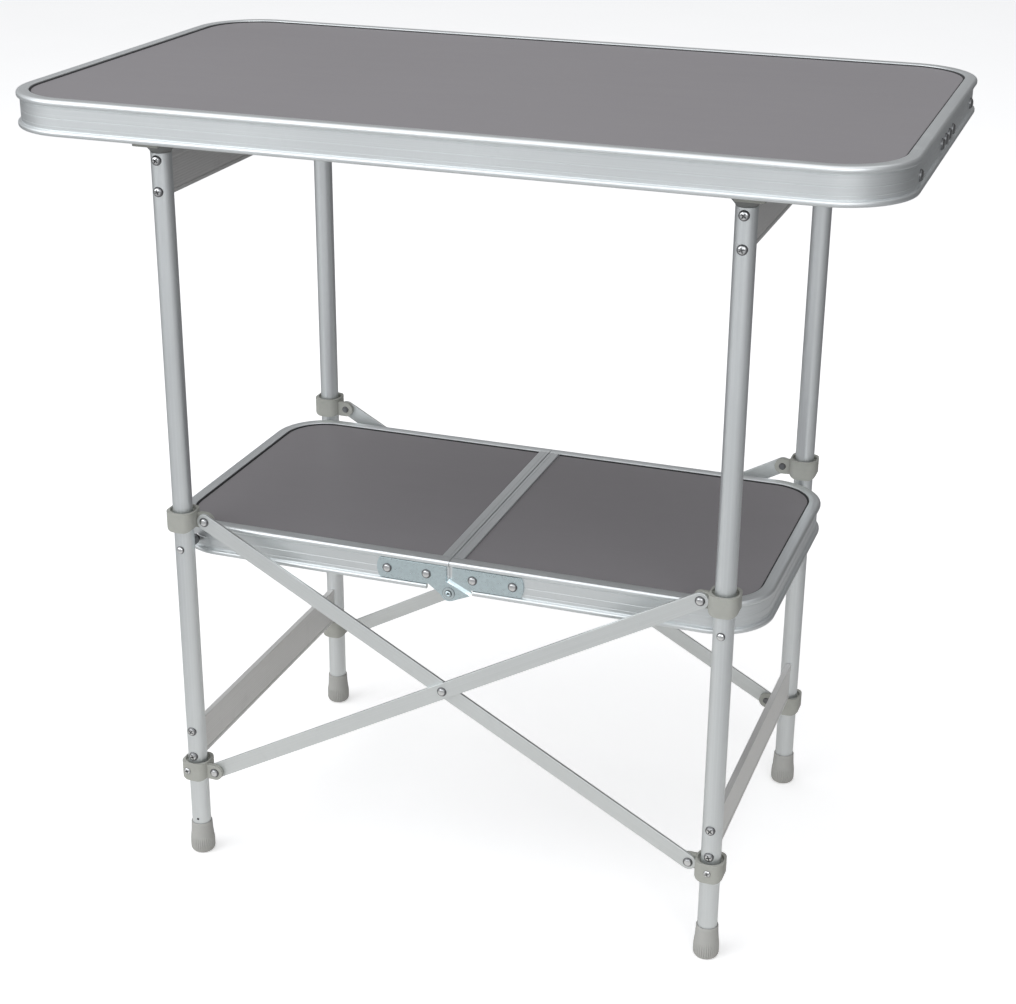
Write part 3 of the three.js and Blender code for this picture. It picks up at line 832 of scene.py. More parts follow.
def extruded(
    outline: Sequence[Point], along: Along, low: float, high: float, grain: Point = (1.0, 0.0)
) -> Shape:
    """Extrude an outline.

    Args:
        outline: its points across the axis.
        along: direction of the depth.
        low: one end of the depth.
        high: the other end.
        grain: direction of the grain across the axis, or LENGTHWISE along the depth.

    Returns:
        The extruded shape.
    """
    low, high = sorted((low, high))
    out = Shape()
    rings = [[along.place(a, b, place) for a, b in outline] for place in (low, high)]
    girths = running(outline, True)
    out.grid(rings, [low, high], girths, False, True)
    flat = {Along.X: (1, 2), Along.Y: (0, 2), Along.Z: (0, 1)}[along]

    def across(p: Vector) -> Point:
        """Grain place of a point on the flat faces."""
        a, b = p[flat[0]], p[flat[1]]
        return (a * grain[0] + b * grain[1], b * grain[0] - a * grain[1])

    if grain != LENGTHWISE:
        sides = []
        for face in out.faces:
            sides.append(tuple((across(out.verts[i])[0], i * 0.1 * MM) for i in face))
        out.grain = sides
    for ring in rings:
        out.cap(ring, across)
    return out


def swept(
    stations: Sequence[Station], section: Sequence[Point], foot: float, closed: bool
) -> Shape:
    """Carry a section along an outline.

    Args:
        stations: x, y and the outward direction at each place.
        section: (inward, up) points of the section.
        foot: height of the section's zero.
        closed: whether the outline closes.

    Returns:
        The swept shape, with flat ends if it is open.
    """
    rows = [
        [Vector((x - nx * u, y - ny * u, foot + v)) for u, v in section]
        for x, y, nx, ny in stations
    ]
    out = Shape()
    out.grid(rows, running(stations, closed), running(section, True), closed, True)
    if not closed:
        for row in (rows[0], rows[-1]):
            out.cap(row, lambda p: (p.z, p.y))
    return out


def corner_run(centre: Point, radius: float, start: float, steps: int) -> list[Station]:
    """Stations around a quarter circle, from a start angle in degrees.

    Args:
        centre: middle of the circle.
        radius: its radius.
        start: first angle in degrees.
        steps: number of chords.

    Returns:
        The stations.
    """
    out = []
    for x, y in arc(centre, radius, start, start + 90.0, steps):
        out.append((x, y, (x - centre[0]) / radius, (y - centre[1]) / radius))
    return out


def rounded_rectangle(
    low: Point, high: Point, radii: Sequence[float], steps: int = 14
) -> list[Point]:
    """Rectangle with rounded corners.

    Args:
        low: corner with the least coordinates.
        high: corner with the greatest coordinates.
        radii: corner radii, anticlockwise from the low corner; 0 is a sharp corner.
        steps: chords per corner.

    Returns:
        The outline, anticlockwise.
    """
    corners = (
        ((low[0], low[1]), (1, 1), 180.0),
        ((high[0], low[1]), (-1, 1), 270.0),
        ((high[0], high[1]), (-1, -1), 0.0),
        ((low[0], high[1]), (1, -1), 90.0),
    )
    out: list[Point] = []
    for ((x, y), (ix, iy), start), radius in zip(corners, radii):
        if radius > 0:
            out.extend(arc((x + ix * radius, y + iy * radius), radius, start, start + 90.0, steps))
        else:
            out.append((x, y))
    return out


class Work(Enum):
    """What is done to a piece with another shape."""

    CUT = "DIFFERENCE"
    JOIN = "UNION"


def rework(target: bpy.types.Object, tool: Shape, work: Work = Work.CUT) -> None:
    """Cut a shape out of a piece's mesh, or join it on.

    Args:
        target: the piece.
        tool: the other shape.
        work: whether it is cut out or joined on.
    """
    other = loose(tool, "tool")
    step = target.modifiers.new("step", "BOOLEAN")
    step.object = other
    step.operation = work.value
    step.solver = "EXACT"
    settle(target)
    bpy.data.objects.remove(other)


def settle(target: bpy.types.Object) -> None:
    """Apply all of a piece's modifiers to its mesh.

    Args:
        target: the piece.
    """
    view = bpy.context.evaluated_depsgraph_get()
    view.update()
    made = bpy.data.meshes.new_from_object(target.evaluated_get(view))
    target.modifiers.clear()
    target.data = made


def soften(target: bpy.types.Object, width: float, steps: int = 2, angle: float = CREASE) -> None:
    """Round a piece's sharp edges.

    Args:
        target: the piece.
        width: width of the rounding.
        steps: facets across it.
        angle: edges sharper than this many degrees are rounded.
    """
    rounding = target.modifiers.new("rounding", "BEVEL")
    rounding.width = width
    rounding.segments = steps
    rounding.limit_method = "ANGLE"
    rounding.angle_limit = math.radians(angle)
    rounding.use_clamp_overlap = True
    rounding.harden_normals = True
    settle(target)


def loose(shape: Shape, name: str) -> bpy.types.Object:
    """Turn a shape into an object in the scene.

    Args:
        shape: the shape.
        name: the object's name.

    Returns:
        The object.
    """
    made = bpy.data.objects.new(name, shape.mesh(name))
    bpy.context.collection.objects.link(made)
    return made


def joined(shapes: Iterable[Shape]) -> Shape:
    """One shape of several that don't touch.

    Args:
        shapes: the shapes.

    Returns:
        The one shape.
    """
    out = Shape()
    for shape in shapes:
        start = len(out.verts)
        out.verts.extend(shape.verts)
        out.faces.extend(tuple(start + i for i in face) for face in shape.faces)
        out.grain.extend(shape.grain)
    return out


# --------------------------------------------------------------------------------------
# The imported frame
# --------------------------------------------------------------------------------------


@dataclass(frozen=True)
class Box:
    """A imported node's box at rest."""

    low: Vector
    high: Vector

    @classmethod
    def of(cls, node: str) -> "Box":
        """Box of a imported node."""
        low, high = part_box(node)
        return cls(Vector(low), Vector(high))

    @property
    def mid(self) -> Vector:
        """Middle of the box."""
        return (self.low + self.high) / 2

    @property
    def size(self) -> Vector:
        """Lengths of the box's sides."""
        return self.high - self.low

    @property
    def reach(self) -> Point:
        """Least and greatest distance from the table's middle along x."""
        near, far = sorted((abs(self.low.x), abs(self.high.x)))
        return near, far

    def faces(self, out_y: float) -> Point:
        """Places along y of the faces turned out of the table and into it.

        Args:
            out_y: sign of the outward direction.

        Returns:
            The outer and the inner place.
        """
        return (self.low.y, self.high.y) if out_y < 0 else (self.high.y, self.low.y)


class Sided:
    """Words for a side of the table, whose value is its sign along x or y."""

    name: str

    def __str__(self) -> str:
        """The side's word in the names of nodes."""
        return self.name.lower()

    @property
    def letter(self) -> str:
        """The side's letter in the legs' tags."""
        return str(self)[0]


class Side(Sided, Enum):
    """An end of the table, by its sign along x."""

    LEFT = -1.0
    RIGHT = 1.0


class Face(Sided, Enum):
    """The front or the rear of the table, by its sign along y."""

    FRONT = -1.0
    REAR = 1.0


def body_of(node: str) -> str:
    """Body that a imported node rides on.

    Args:
        node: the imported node.

    Returns:
        The body's name.
    """
    for body, nodes in frame["record"]["behaviour"]["bodies"].items():
        if node in nodes:
            return body
    raise KeyError(node)


def show(
    piece: bpy.types.Object, finish: Finish, body: str, replaces: Sequence[str] = ()
) -> bpy.types.Object:
    """Dress a piece and put it on its body.

    Args:
        piece: the piece.
        finish: its finish.
        body: the body that it rides on.
        replaces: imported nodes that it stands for.

    Returns:
        The same piece.
    """
    piece.data.materials.clear()
    piece.data.materials.append(PALETTE.get(finish))
    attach(piece, body)
    if replaces:
        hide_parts(*replaces)
    LOG.info("%s rides on %s (%s)", piece.name, body, finish.value.name)
    return piece


def stand_for(node: str, piece: bpy.types.Object, finish: Finish) -> bpy.types.Object:
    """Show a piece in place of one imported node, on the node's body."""
    return show(piece, finish, body_of(node), (node,))


def rounded_copy(node: str, width: float) -> bpy.types.Object:
    """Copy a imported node's plain shape and round its edges.

    Args:
        node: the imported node.
        width: width of the rounding.

    Returns:
        The new piece, not yet dressed.
    """
    source = frame["nodes"][node].data
    work = bmesh.new()
    work.from_mesh(source)
    bmesh.ops.remove_doubles(work, verts=work.verts, dist=COPY_WELD)
    bmesh.ops.dissolve_limit(
        work, angle_limit=math.radians(1.0), verts=work.verts, edges=work.edges, delimit={"NORMAL"}
    )
    made = bpy.data.meshes.new(node + "_shape")
    work.to_mesh(made)
    work.free()
    layer = made.uv_layers.new(name=GRAIN_MAP)
    for loop in made.loops:
        place = made.vertices[loop.vertex_index].co
        layer.data[loop.index].uv = (place.x, place.z + place.y)
    made.shade_smooth()
    crease(made)
    piece = bpy.data.objects.new(node + "_shape", made)
    bpy.context.collection.objects.link(piece)
    soften(piece, width)
    return piece


# --------------------------------------------------------------------------------------
# Fasteners
# --------------------------------------------------------------------------------------


@dataclass(frozen=True)
class Outward:
    """A direction straight out of a face, and how to stand a turned piece on it."""

    along: Along
    sign: float

    def shape(self, profile: Sequence[Point], centre: Point, face: float, steps: int = 40) -> Shape:
        """Turn a profile whose heights are measured outwards from a face.

        Args:
            profile: (radius, height above the face) points.
            centre: the axis' two coordinates across it.
            face: place of the face on the axis.
            steps: facets around.

        Returns:
            The turned shape.
        """
        placed = [(radius, face + self.sign * height) for radius, height in profile]
        return turned(placed, centre, self.along, steps)


def dome(radius: float, height: float, steps: int = 10, fullness: float = 2.15) -> list[Point]:
    """Profile of a head's dome above a face at 0.

    Args:
        radius: radius at the rim.
        height: height at the middle.
        steps: spans from the middle to the rim.
        fullness: 2 for an ellipse, more for a flatter top.

    Returns:
        (radius, height) points from the top to the rim.
    """
    out = []
    for i in range(steps + 1):
        turn = math.radians(90.0 * i / steps)
        share = math.sin(turn) ** (2 / fullness)
        rise = max(0.0, math.cos(turn)) ** (2 / fullness)
        out.append((radius * share, height * rise))
    out[0] = (0.0, height)
    return out


@dataclass(frozen=True)
class Rivet:
    """Domed rivet with a thin flange under the dome."""

    radius: float
    height: float
    flange: float
    shank: float
    tail: tuple[Point, ...] = ()
    dome_share: float = 0.93

    def profile(self, length: float) -> list[Point]:
        """Profile from the dome's top to the tail's end.

        Args:
            length: length of the shank below the face at 0.

        Returns:
            (radius, height) points, the tail's by radius and depth beyond the shank.
        """
        top = dome(self.radius * self.dome_share, self.height - self.flange)
        head = [(r, h + self.flange) for r, h in top]
        rim = [(self.radius, self.flange), (self.radius, 0.0)]
        shank = [(self.shank, 0.0), (self.shank, -length)]
        return head + rim + shank + [(r, -length - d) for r, d in self.tail]


PIVOT_RIVET = Rivet(
    4.7 * MM,
    2.3 * MM,
    0.3 * MM,
    2.5 * MM,
    ((3.6 * MM, 0.0), (3.5 * MM, 0.5 * MM), (2.8 * MM, 1.2 * MM), (0.0, 1.4 * MM)),
)


@dataclass
class CrossScrew:
    """Pan-head screw with a cross recess, each turned further than the one before."""

    radius: float = 4.7 * MM
    height: float = 2.1 * MM
    sunk: float = 1.4 * MM
    slot_width: float = 1.1 * MM
    slot_length: float = 5.2 * MM
    slot_depth: float = 1.7 * MM
    first_turn: float = 20.0
    next_turn: float = 35.0
    dome_steps: int = 8
    past: float = 0.5 * MM

    def head(self, name: str, spots: Sequence[Station]) -> bpy.types.Object:
        """Make heads pointing to the front or rear, joined in one piece.

        Args:
            name: the piece's name.
            spots: x, y of the face, z and the outward sign along y of each head.

        Returns:
            The piece, not yet dressed.
        """
        heads = []
        cuts = []
        profile = dome(self.radius, self.height, self.dome_steps)
        profile += [(self.radius, -self.sunk), (0.0, -self.sunk)]
        for i, (x, y, z, sign) in enumerate(spots):
            heads.append(Outward(Along.Y, sign).shape(profile, (x, z), y))
            top = y + sign * (self.height + self.past)
            floor = y + sign * (self.height - self.slot_depth)
            turn = self.first_turn + self.next_turn * i
            cuts.append(self.cross((x, z), top, floor, turn))
        piece = loose(joined(heads), name)
        rework(piece, joined(cuts))
        crease(piece.data)
        return piece

    def cross(self, centre: Point, low: float, high: float, turn: float) -> Shape:
        """Plus-shaped cutter turned by an angle in degrees.

        Args:
            centre: x and z of the middle.
            low: one end along y.
            high: the other end.
            turn: angle in degrees.

        Returns:
            The cutter.
        """
        w, n = self.slot_width / 2, self.slot_length / 2
        plus = [(w, w), (w, n), (-w, n), (-w, w), (-n, w), (-n, -w)]
        plus += [(-a, -b) for a, b in plus]
        c, s = math.cos(math.radians(turn)), math.sin(math.radians(turn))
        spun = [(centre[0] + a * c - b * s, centre[1] + a * s + b * c) for a, b in plus]
        return extruded(spun, Along.Y, low, high)


# --------------------------------------------------------------------------------------
# Edge extrusion, shared by the top and the shelf
# --------------------------------------------------------------------------------------


@dataclass
class EdgeExtrusion:
    """Section of the aluminium edge: two beads, a web with fine lines and a board groove."""

    height: float = 32 * MM
    web: float = 3.0 * MM
    web_back: float = 4.8 * MM
    lip: float = 11.5 * MM
    lip_under: float = 30.6 * MM
    groove_wall: float = 5.0 * MM
    groove_floor: float = 25.4 * MM
    flange: float = 10.5 * MM
    flange_under: float = 24.0 * MM
    bead: float = 1.9 * MM
    low_bead: Point = (1.9 * MM, 3.0 * MM)
    high_bead: float = 28.2 * MM
    crown: float = 2.8 * MM
    chamfer: float = 0.5 * MM
    score: Point = (0.35 * MM, 0.24 * MM)
    score_floor: float = 0.4
    score_heights: tuple[float, ...] = (5.5 * MM, 8.7 * MM, 15.6 * MM, 24.9 * MM)
    web_ends: Point = (4.95 * MM, 26.0 * MM)
    burr: float = 0.1 * MM
    foot_chamfer: Point = (0.6 * MM, 0.4 * MM)
    # near-black strip under the lip: painted shade line between the lip and the board
    seal_width: float = 1.9 * MM
    seal_sunk: float = 0.3 * MM
    seal_heights: Point = (0.9 * MM, 0.7 * MM)

    def scored(self, height: float) -> list[Point]:
        """A fine groove along the web at a height.

        Args:
            height: middle of the groove.

        Returns:
            Its points, upwards.
        """
        wide, deep = self.score
        floor, flat = self.web + deep, wide * self.score_floor
        return [
            (self.web, height - wide),
            (floor, height - flat),
            (floor, height + flat),
            (self.web, height + wide),
        ]

    def section(self) -> list[Point]:
        """(inward, up) points of the section.

        Returns:
            The outline, from the foot round by the face and the head.
        """
        aside, up = self.foot_chamfer
        foot = [(self.web_back, up), (self.web_back - aside, 0.0)]
        foot += arc((self.bead, self.bead), self.bead, 270.0, 180.0, 6)
        foot += arc(self.low_bead, self.bead, 180.0, 112.0, 5)
        foot += [(self.web - self.burr, self.web_ends[0])]
        face = [point for height in self.score_heights for point in self.scored(height)]
        head = [(self.web, self.web_ends[1])]
        head += arc((self.bead, self.high_bead), self.bead, 244.0, 180.0, 5)
        head += arc((self.crown, self.height - self.crown), self.crown, 180.0, 90.0, 7)
        head += [
            (self.lip - self.chamfer, self.height),
            (self.lip - self.burr, self.height - 0.12 * MM),
            (self.lip, self.height - self.chamfer),
            (self.lip, self.lip_under),
        ]
        groove = [
            (self.groove_wall, self.lip_under),
            (self.groove_wall, self.groove_floor),
            (self.flange, self.groove_floor),
            (self.flange, self.flange_under),
            (self.web_back, self.flange_under),
        ]
        return foot + face + head + groove

    def seal_section(self) -> list[Point]:
        """Section of the near-black strip that paints the shade line between the lip and the board.

        Returns:
            (inward, up) points.
        """
        low = self.lip_under - self.seal_sunk
        return [
            (self.lip, low),
            (self.lip, low + self.seal_heights[0]),
            (self.lip + self.seal_width * 0.7, low + self.seal_heights[1]),
            (self.lip + self.seal_width, low),
        ]


EDGE = EdgeExtrusion()


# --------------------------------------------------------------------------------------
# Table top
# --------------------------------------------------------------------------------------


@dataclass
class TableTop:
    """The lift-off top: rim, board, sockets for the legs and the rim's rivets."""

    corner: float = 67 * MM
    corner_steps: int = 22
    corner_rivet_y: float = 151 * MM
    joint_rivets_y: tuple[float, ...] = (-32 * MM, -10.5 * MM, 10.5 * MM, 32 * MM)
    rivet_height: float = 12.5 * MM
    rivet_length: float = 5.2 * MM
    socket_rounding: float = 0.8 * MM
    seam: float = 0.22 * MM
    seam_depth: float = 4.4 * MM
    seam_notch: Point = (1.4 * MM, 3.4 * MM)
    splice: Place = (1.5 * MM, 90 * MM, 17 * MM)
    splice_corner: float = 3 * MM
    splice_gap: float = 0.1 * MM
    splice_rounding: float = 0.3 * MM

    def __post_init__(self) -> None:
        """Take the rim's and the board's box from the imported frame."""
        self.rim = Box.of("top_frame")
        self.board = Box.of("top_board")
        tail = ((3.6 * MM, 0.0), (3.2 * MM, 1.2 * MM), (0.0, 1.4 * MM))
        self.rivet = Rivet(5.2 * MM, 3.0 * MM, 0.4 * MM, 2.4 * MM, tail)

    def stations(self) -> list[Station]:
        """Stations once around the rim's outer face.

        Returns:
            The stations, anticlockwise from the right.
        """
        x, y, r = self.rim.high.x, self.rim.high.y, self.corner
        out: list[Station] = []
        for sx, sy, start in ((1, 1, 0.0), (-1, 1, 90.0), (-1, -1, 180.0), (1, -1, 270.0)):
            out += corner_run((sx * (x - r), sy * (y - r)), r, start, self.corner_steps)
        return out

    def build(self) -> None:
        """Make and dress every piece of the top."""
        self.build_rim()
        self.build_board()
        for tag in LEG_TAGS:
            socket = rounded_copy(f"top_socket_{tag}", self.socket_rounding)
            stand_for(f"top_socket_{tag}", socket, Finish.COLLAR)
        self.build_rivets()

    def build_rim(self) -> None:
        """Rim with the seam where the extrusion's ends meet, and the near-black strip of painted
        shade at the board's edge.
        """
        foot = self.rim.low.z
        rim = loose(swept(self.stations(), EDGE.section(), foot, True), "top_rim")
        x, past = self.rim.high.x, 40.0 * MM
        for half, high in ((self.seam, past), self.seam_notch):
            across = rounded_rectangle((-half, foot - MM), (half, foot + high), [0.0] * 4)
            rework(rim, extruded(across, Along.X, x - self.seam_depth, x + MM))
        crease(rim.data)
        stand_for("top_frame", rim, Finish.ALUMINIUM)
        # painted shade: a near-black strip along the lip's inner edge, for the shade line between
        # lip and board
        shade_strip = loose(swept(self.stations(), EDGE.seal_section(), foot, True), "top_board_seal")
        show(shade_strip, Finish.SEAL, "top")

    def build_board(self) -> None:
        """Laminate board held in the rim's groove."""
        low, high = self.board.low, self.board.high
        inset = self.rim.high.x - high.x
        radii = [self.corner - inset] * 4
        outline = rounded_rectangle((low.x, low.y), (high.x, high.y), radii, self.corner_steps)
        board = loose(extruded(outline, Along.Z, low.z, high.z), "top_panel")
        stand_for("top_board", board, Finish.TOP_BOARD)

    def build_rivets(self) -> None:
        """Rivets at the short sides' corners and at the joint, with its splice plate."""
        z = self.rim.low.z + self.rivet_height
        corners = (-self.corner_rivet_y, self.corner_rivet_y)
        places = {
            "rim_corner_rivets_right": (1.0, corners),
            "rim_corner_rivets_left": (-1.0, corners),
            "rim_joint_rivets": (1.0, self.joint_rivets_y),
        }
        profile = self.rivet.profile(self.rivet_length)
        for name, (sign, ys) in places.items():
            face = sign * (self.rim.high.x - EDGE.web)
            heads = [Outward(Along.X, sign).shape(profile, (y, z), face) for y in ys]
            show(loose(joined(heads), name), Finish.BRIGHT, "top")
        thick, length, tall = self.splice
        x1 = self.rim.high.x - EDGE.web_back - self.splice_gap
        low, high = (-length / 2, z - tall / 2), (length / 2, z + tall / 2)
        outline = rounded_rectangle(low, high, [self.splice_corner] * 4, 6)
        plate = loose(extruded(outline, Along.X, x1 - thick, x1), "rim_splice_plate")
        soften(plate, self.splice_rounding)
        show(plate, Finish.BAR_ALUMINIUM, "top")


# --------------------------------------------------------------------------------------
# Legs
# --------------------------------------------------------------------------------------


LEG_TAGS = ("fl", "rl", "fr", "rr")


@dataclass
class Leg:
    """One leg: tube, upper cap, ribbed foot, and the rivet that the shelf turns on."""

    tag: str
    wall: float = 1.2 * MM
    edge: float = 0.3 * MM
    play: float = 0.3 * MM
    cap_neck: tuple[Point, ...] = ((0.4 * MM, 0.9 * MM), (1.6 * MM, 2.4 * MM))
    cap_flare: tuple[Point, ...] = ((0.8 * MM, 5.8 * MM), (0.0, 7.0 * MM))
    cap_edge: float = 1.2 * MM
    foot_bulge: float = 6 * MM
    foot_taper: tuple[Point, ...] = (
        (0.0, 8 * MM),
        (0.0, 10.5 * MM),
        (0.1 * MM, 13 * MM),
        (0.35 * MM, 15.5 * MM),
        (0.7 * MM, 18 * MM),
        (1.05 * MM, 21 * MM),
        (1.35 * MM, 25 * MM),
        (1.6 * MM, 30 * MM),
    )
    foot_rim: tuple[Point, ...] = ((1.7 * MM, 0.8 * MM), (2.1 * MM, 0.0))
    foot_ribs: int = 34
    rib_depth: float = 0.75 * MM
    rib_starts: Point = (1.0 * MM, 3.5 * MM)
    rib_ends: Point = (14 * MM, 19 * MM)
    foot_pin: tuple[Point, ...] = (
        (0.0, 0.15 * MM),
        (1.2 * MM, 0.1 * MM),
        (1.3 * MM, -0.6 * MM),
        (0.0, -0.6 * MM),
    )
    foot_pin_place: Point = (0.8 * MM, 5.5 * MM)
    spacer: float = 5.0 * MM
    spacer_gap: float = 0.4 * MM
    rivet_sunk: float = 0.8 * MM
    rivet: Rivet = Rivet(3.9 * MM, 2.3 * MM, 0.3 * MM, 3.0 * MM)
    tail: tuple[Point, ...] = ((4.3 * MM, 1.2 * MM), (4.0 * MM, 0.0))
    tail_start: float = 1.4 * MM
    spacer_end: float = 3.8 * MM

    def __post_init__(self) -> None:
        """Take the leg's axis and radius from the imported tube."""
        self.tube = Box.of(f"leg_tube_{self.tag}")
        self.x, self.y = self.tube.mid.x, self.tube.mid.y
        self.radius = self.tube.size.x / 2
        self.out_x = math.copysign(1.0, self.x)
        self.out_y = math.copysign(1.0, self.y)

    @property
    def outer_face(self) -> float:
        """Place along y of the tube's outermost line."""
        return self.y + self.out_y * self.radius

    def build(self) -> None:
        """Make and dress the leg's pieces."""
        self.build_tube()
        self.build_cap()
        self.build_foot()
        self.build_shelf_pivot()

    def build_tube(self) -> None:
        """Plain round tube."""
        z0, z1 = self.tube.low.z, self.tube.high.z
        r, inner, edge = self.radius, self.radius - self.wall, self.edge
        outside = [(r - edge, z0), (r, z0 + edge), (r, z1 - edge), (r - edge, z1)]
        profile = [(inner, z0), *outside, (inner, z1), (inner, z0)]
        tube = loose(turned(profile, (self.x, self.y), Along.Z, 72), f"leg_{self.tag}")
        stand_for(f"leg_tube_{self.tag}", tube, Finish.ALUMINIUM)

    def build_cap(self) -> None:
        """Plug that flares out to carry the top."""
        box = Box.of(f"leg_cap_{self.tag}")
        r, top = box.size.x / 2, box.high.z
        seat = self.tube.high.z + self.play
        plug = self.radius - self.wall - self.play
        profile = [(0.0, box.low.z), (plug, box.low.z), (plug, seat), (self.radius, seat)]
        profile += [(self.radius + a, seat + b) for a, b in self.cap_neck]
        profile += [(r - a, seat + b) for a, b in self.cap_flare]
        edge = self.cap_edge
        profile += [*arc((r - edge, top - edge), edge, 0.0, 90.0, 4), (0.0, top)]
        cap = loose(turned(profile, (self.x, self.y), Along.Z, 64), f"cap_{self.tag}")
        stand_for(f"leg_cap_{self.tag}", cap, Finish.CAP)

    def build_foot(self) -> None:
        """Flared rubber foot with upright ribs around its lower half."""
        box = Box.of(f"leg_foot_{self.tag}")
        r, top = box.size.x / 2, box.high.z
        bore = self.radius + self.play
        floor = self.tube.low.z - self.play
        turns = [math.radians(a) for a in range(40, 91, 10)]
        bulge = [(r * math.sin(a) ** 0.5, self.foot_bulge * (1 - math.cos(a))) for a in turns]
        low = bulge[0][1]
        sole = [(0.0, 0.0), *((a, b - low) for a, b in bulge)]
        side = [(r - a, b) for a, b in self.foot_taper]
        side += [(r - a, top - b) for a, b in self.foot_rim]
        profile = [*sole, *side, (bore, top), (bore, floor), (0.0, floor)]

        def ribs(z: float, turn: float) -> float:
            """Change of radius by the ribs, at a height and an angle.

            Args:
                z: height.
                turn: angle around the foot.

            Returns:
                The change, negative in a groove.
            """
            (start, full), (fading, end) = self.rib_starts, self.rib_ends
            fade = min(1.0, max(0.0, (z - start) / (full - start)))
            fade *= min(1.0, max(0.0, (end - z) / (end - fading)))
            return -self.rib_depth * fade * max(0.0, math.cos(self.foot_ribs * turn)) ** 2

        shape = turned(profile, (self.x, self.y), Along.Z, self.foot_ribs * 6, ribs)
        stand_for(f"leg_foot_{self.tag}", loose(shape, f"foot_{self.tag}"), Finish.FOOT)
        if self.out_x < 0:
            aside, up = self.foot_pin_place
            centre = (self.x + aside, top + up)
            pin = Outward(Along.Y, self.out_y).shape(self.foot_pin, centre, self.outer_face, 20)
            body = body_of(f"leg_foot_{self.tag}")
            show(loose(pin, f"foot_pin_{self.tag}"), Finish.SEAL, body)

    def build_shelf_pivot(self) -> None:
        """Rivet through the leg, with the spacer that carries the shelf."""
        node = f"shelf_pivot_{self.tag}"
        box = Box.of(node)
        length = abs(box.faces(self.out_y)[1] - self.outer_face)
        gap = 2 * self.radius
        pin = self.rivet.shank
        head = self.rivet.profile(gap - self.rivet_sunk)
        tail = [(self.spacer, -gap - self.spacer_gap)]
        if self.out_x < 0:
            tail += [(self.spacer, -length + self.spacer_end), (pin, -length + self.spacer_end)]
            tail += [(pin, -length + self.tail_start)]
            tail += [(r, -length + rise) for r, rise in self.tail]
        else:
            tail += [(self.spacer, -length)]
        tail += [(0.0, -length)]
        centre = (self.x, box.mid.z)
        shape = Outward(Along.Y, self.out_y).shape(head + tail, centre, self.outer_face)
        stand_for(node, loose(shape, f"shelf_rivet_{self.tag}"), Finish.BRIGHT)


@dataclass
class LegFrame:
    """A front and a rear leg joined by two crossbars."""

    side: Side
    screw: CrossScrew = field(default_factory=CrossScrew)
    screws_in: float = 5.8 * MM
    land: float = 3.2 * MM
    top_land: float = 7.5 * MM
    channel: float = 0.7 * MM
    ramp: float = 0.6 * MM
    corner: float = 0.4 * MM
    ribs: int = 11
    rib: float = 0.08 * MM
    rib_foot: float = 0.55 * MM
    rib_crest: float = 0.3 * MM
    top_score: tuple[float, ...] = (4.0 * MM, 3.6 * MM, 3.2 * MM, 2.8 * MM)

    @property
    def body(self) -> str:
        """Body that the frame's pieces ride on."""
        return f"{self.side}_frame"

    def build(self) -> None:
        """Make and dress the frame's pieces."""
        legs = [Leg(tag) for tag in LEG_TAGS if tag.endswith(self.side.letter)]
        for leg in legs:
            leg.build()
        for level in ("upper", "lower"):
            node = f"{level}_crossbar_{self.side}"
            self.build_crossbar(node, level)
            bar = Box.of(node)
            heights = (bar.low.z + self.screws_in, bar.high.z - self.screws_in)
            for leg in legs:
                face = leg.outer_face
                spots = [(leg.x, face, z, leg.out_y) for z in heights]
                heads = self.screw.head(f"{level}_crossbar_screws_{leg.tag}", spots)
                show(heads, Finish.BRIGHT, self.body)

    def build_crossbar(self, node: str, level: str) -> None:
        """Flat extrusion with lengthwise ribs on both faces.

        Args:
            node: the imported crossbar.
            level: upper or lower.
        """
        box = Box.of(node)
        x, t = box.mid.x, box.size.x / 2
        z0, z1 = box.low.z, box.high.z
        sunk, crest = t - self.channel, t - self.channel + self.rib
        low, high = z0 + self.land + self.ramp, z1 - self.top_land - self.ramp
        face: list[Point] = [(t, z0 + self.corner), (t, z0 + self.land), (sunk, low)]
        for i in range(1, self.ribs):
            z = low + (high - low) * i / self.ribs
            face += [(sunk, z - self.rib_foot), (crest, z - self.rib_crest)]
            face += [(crest, z + self.rib_crest), (sunk, z + self.rib_foot)]
        a, b, c, d = (z1 - down for down in self.top_score)
        face += [(sunk, high), (t, z1 - self.top_land), (t, a), (t - self.rib, b)]
        face += [(t - self.rib, c), (t, d), (t, z1 - self.corner), (t - self.corner, z1)]
        right = [(t - self.corner, z0)] + face
        left = [(-a, b) for a, b in reversed(right)]
        outline = [(x + a, b) for a, b in right + left]
        shape = extruded(outline, Along.Y, box.low.y, box.high.y, LENGTHWISE)
        bar = loose(shape, f"{level}_crosspiece_{self.side}")
        stand_for(node, bar, Finish.CROSSBAR_ALUMINIUM)


# --------------------------------------------------------------------------------------
# Scissors
# --------------------------------------------------------------------------------------


class EarPlace(Enum):
    """Side of the bar on which a collar's ear lies, seen from outside the table."""

    IN_FRONT = "in front"
    BEHIND = "behind"


def clamped_between(rivet: Box, out_y: float) -> Point:
    """Places along y of the outer and inner face that a pivot rivet clamps.

    Args:
        rivet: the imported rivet's box.
        out_y: sign of the outward direction.

    Returns:
        The outer and the inner place.
    """
    outer, inner = rivet.faces(out_y)
    depth = PIVOT_RIVET.tail[-1][1]
    return outer - out_y * PIVOT_RIVET.height, inner + out_y * depth


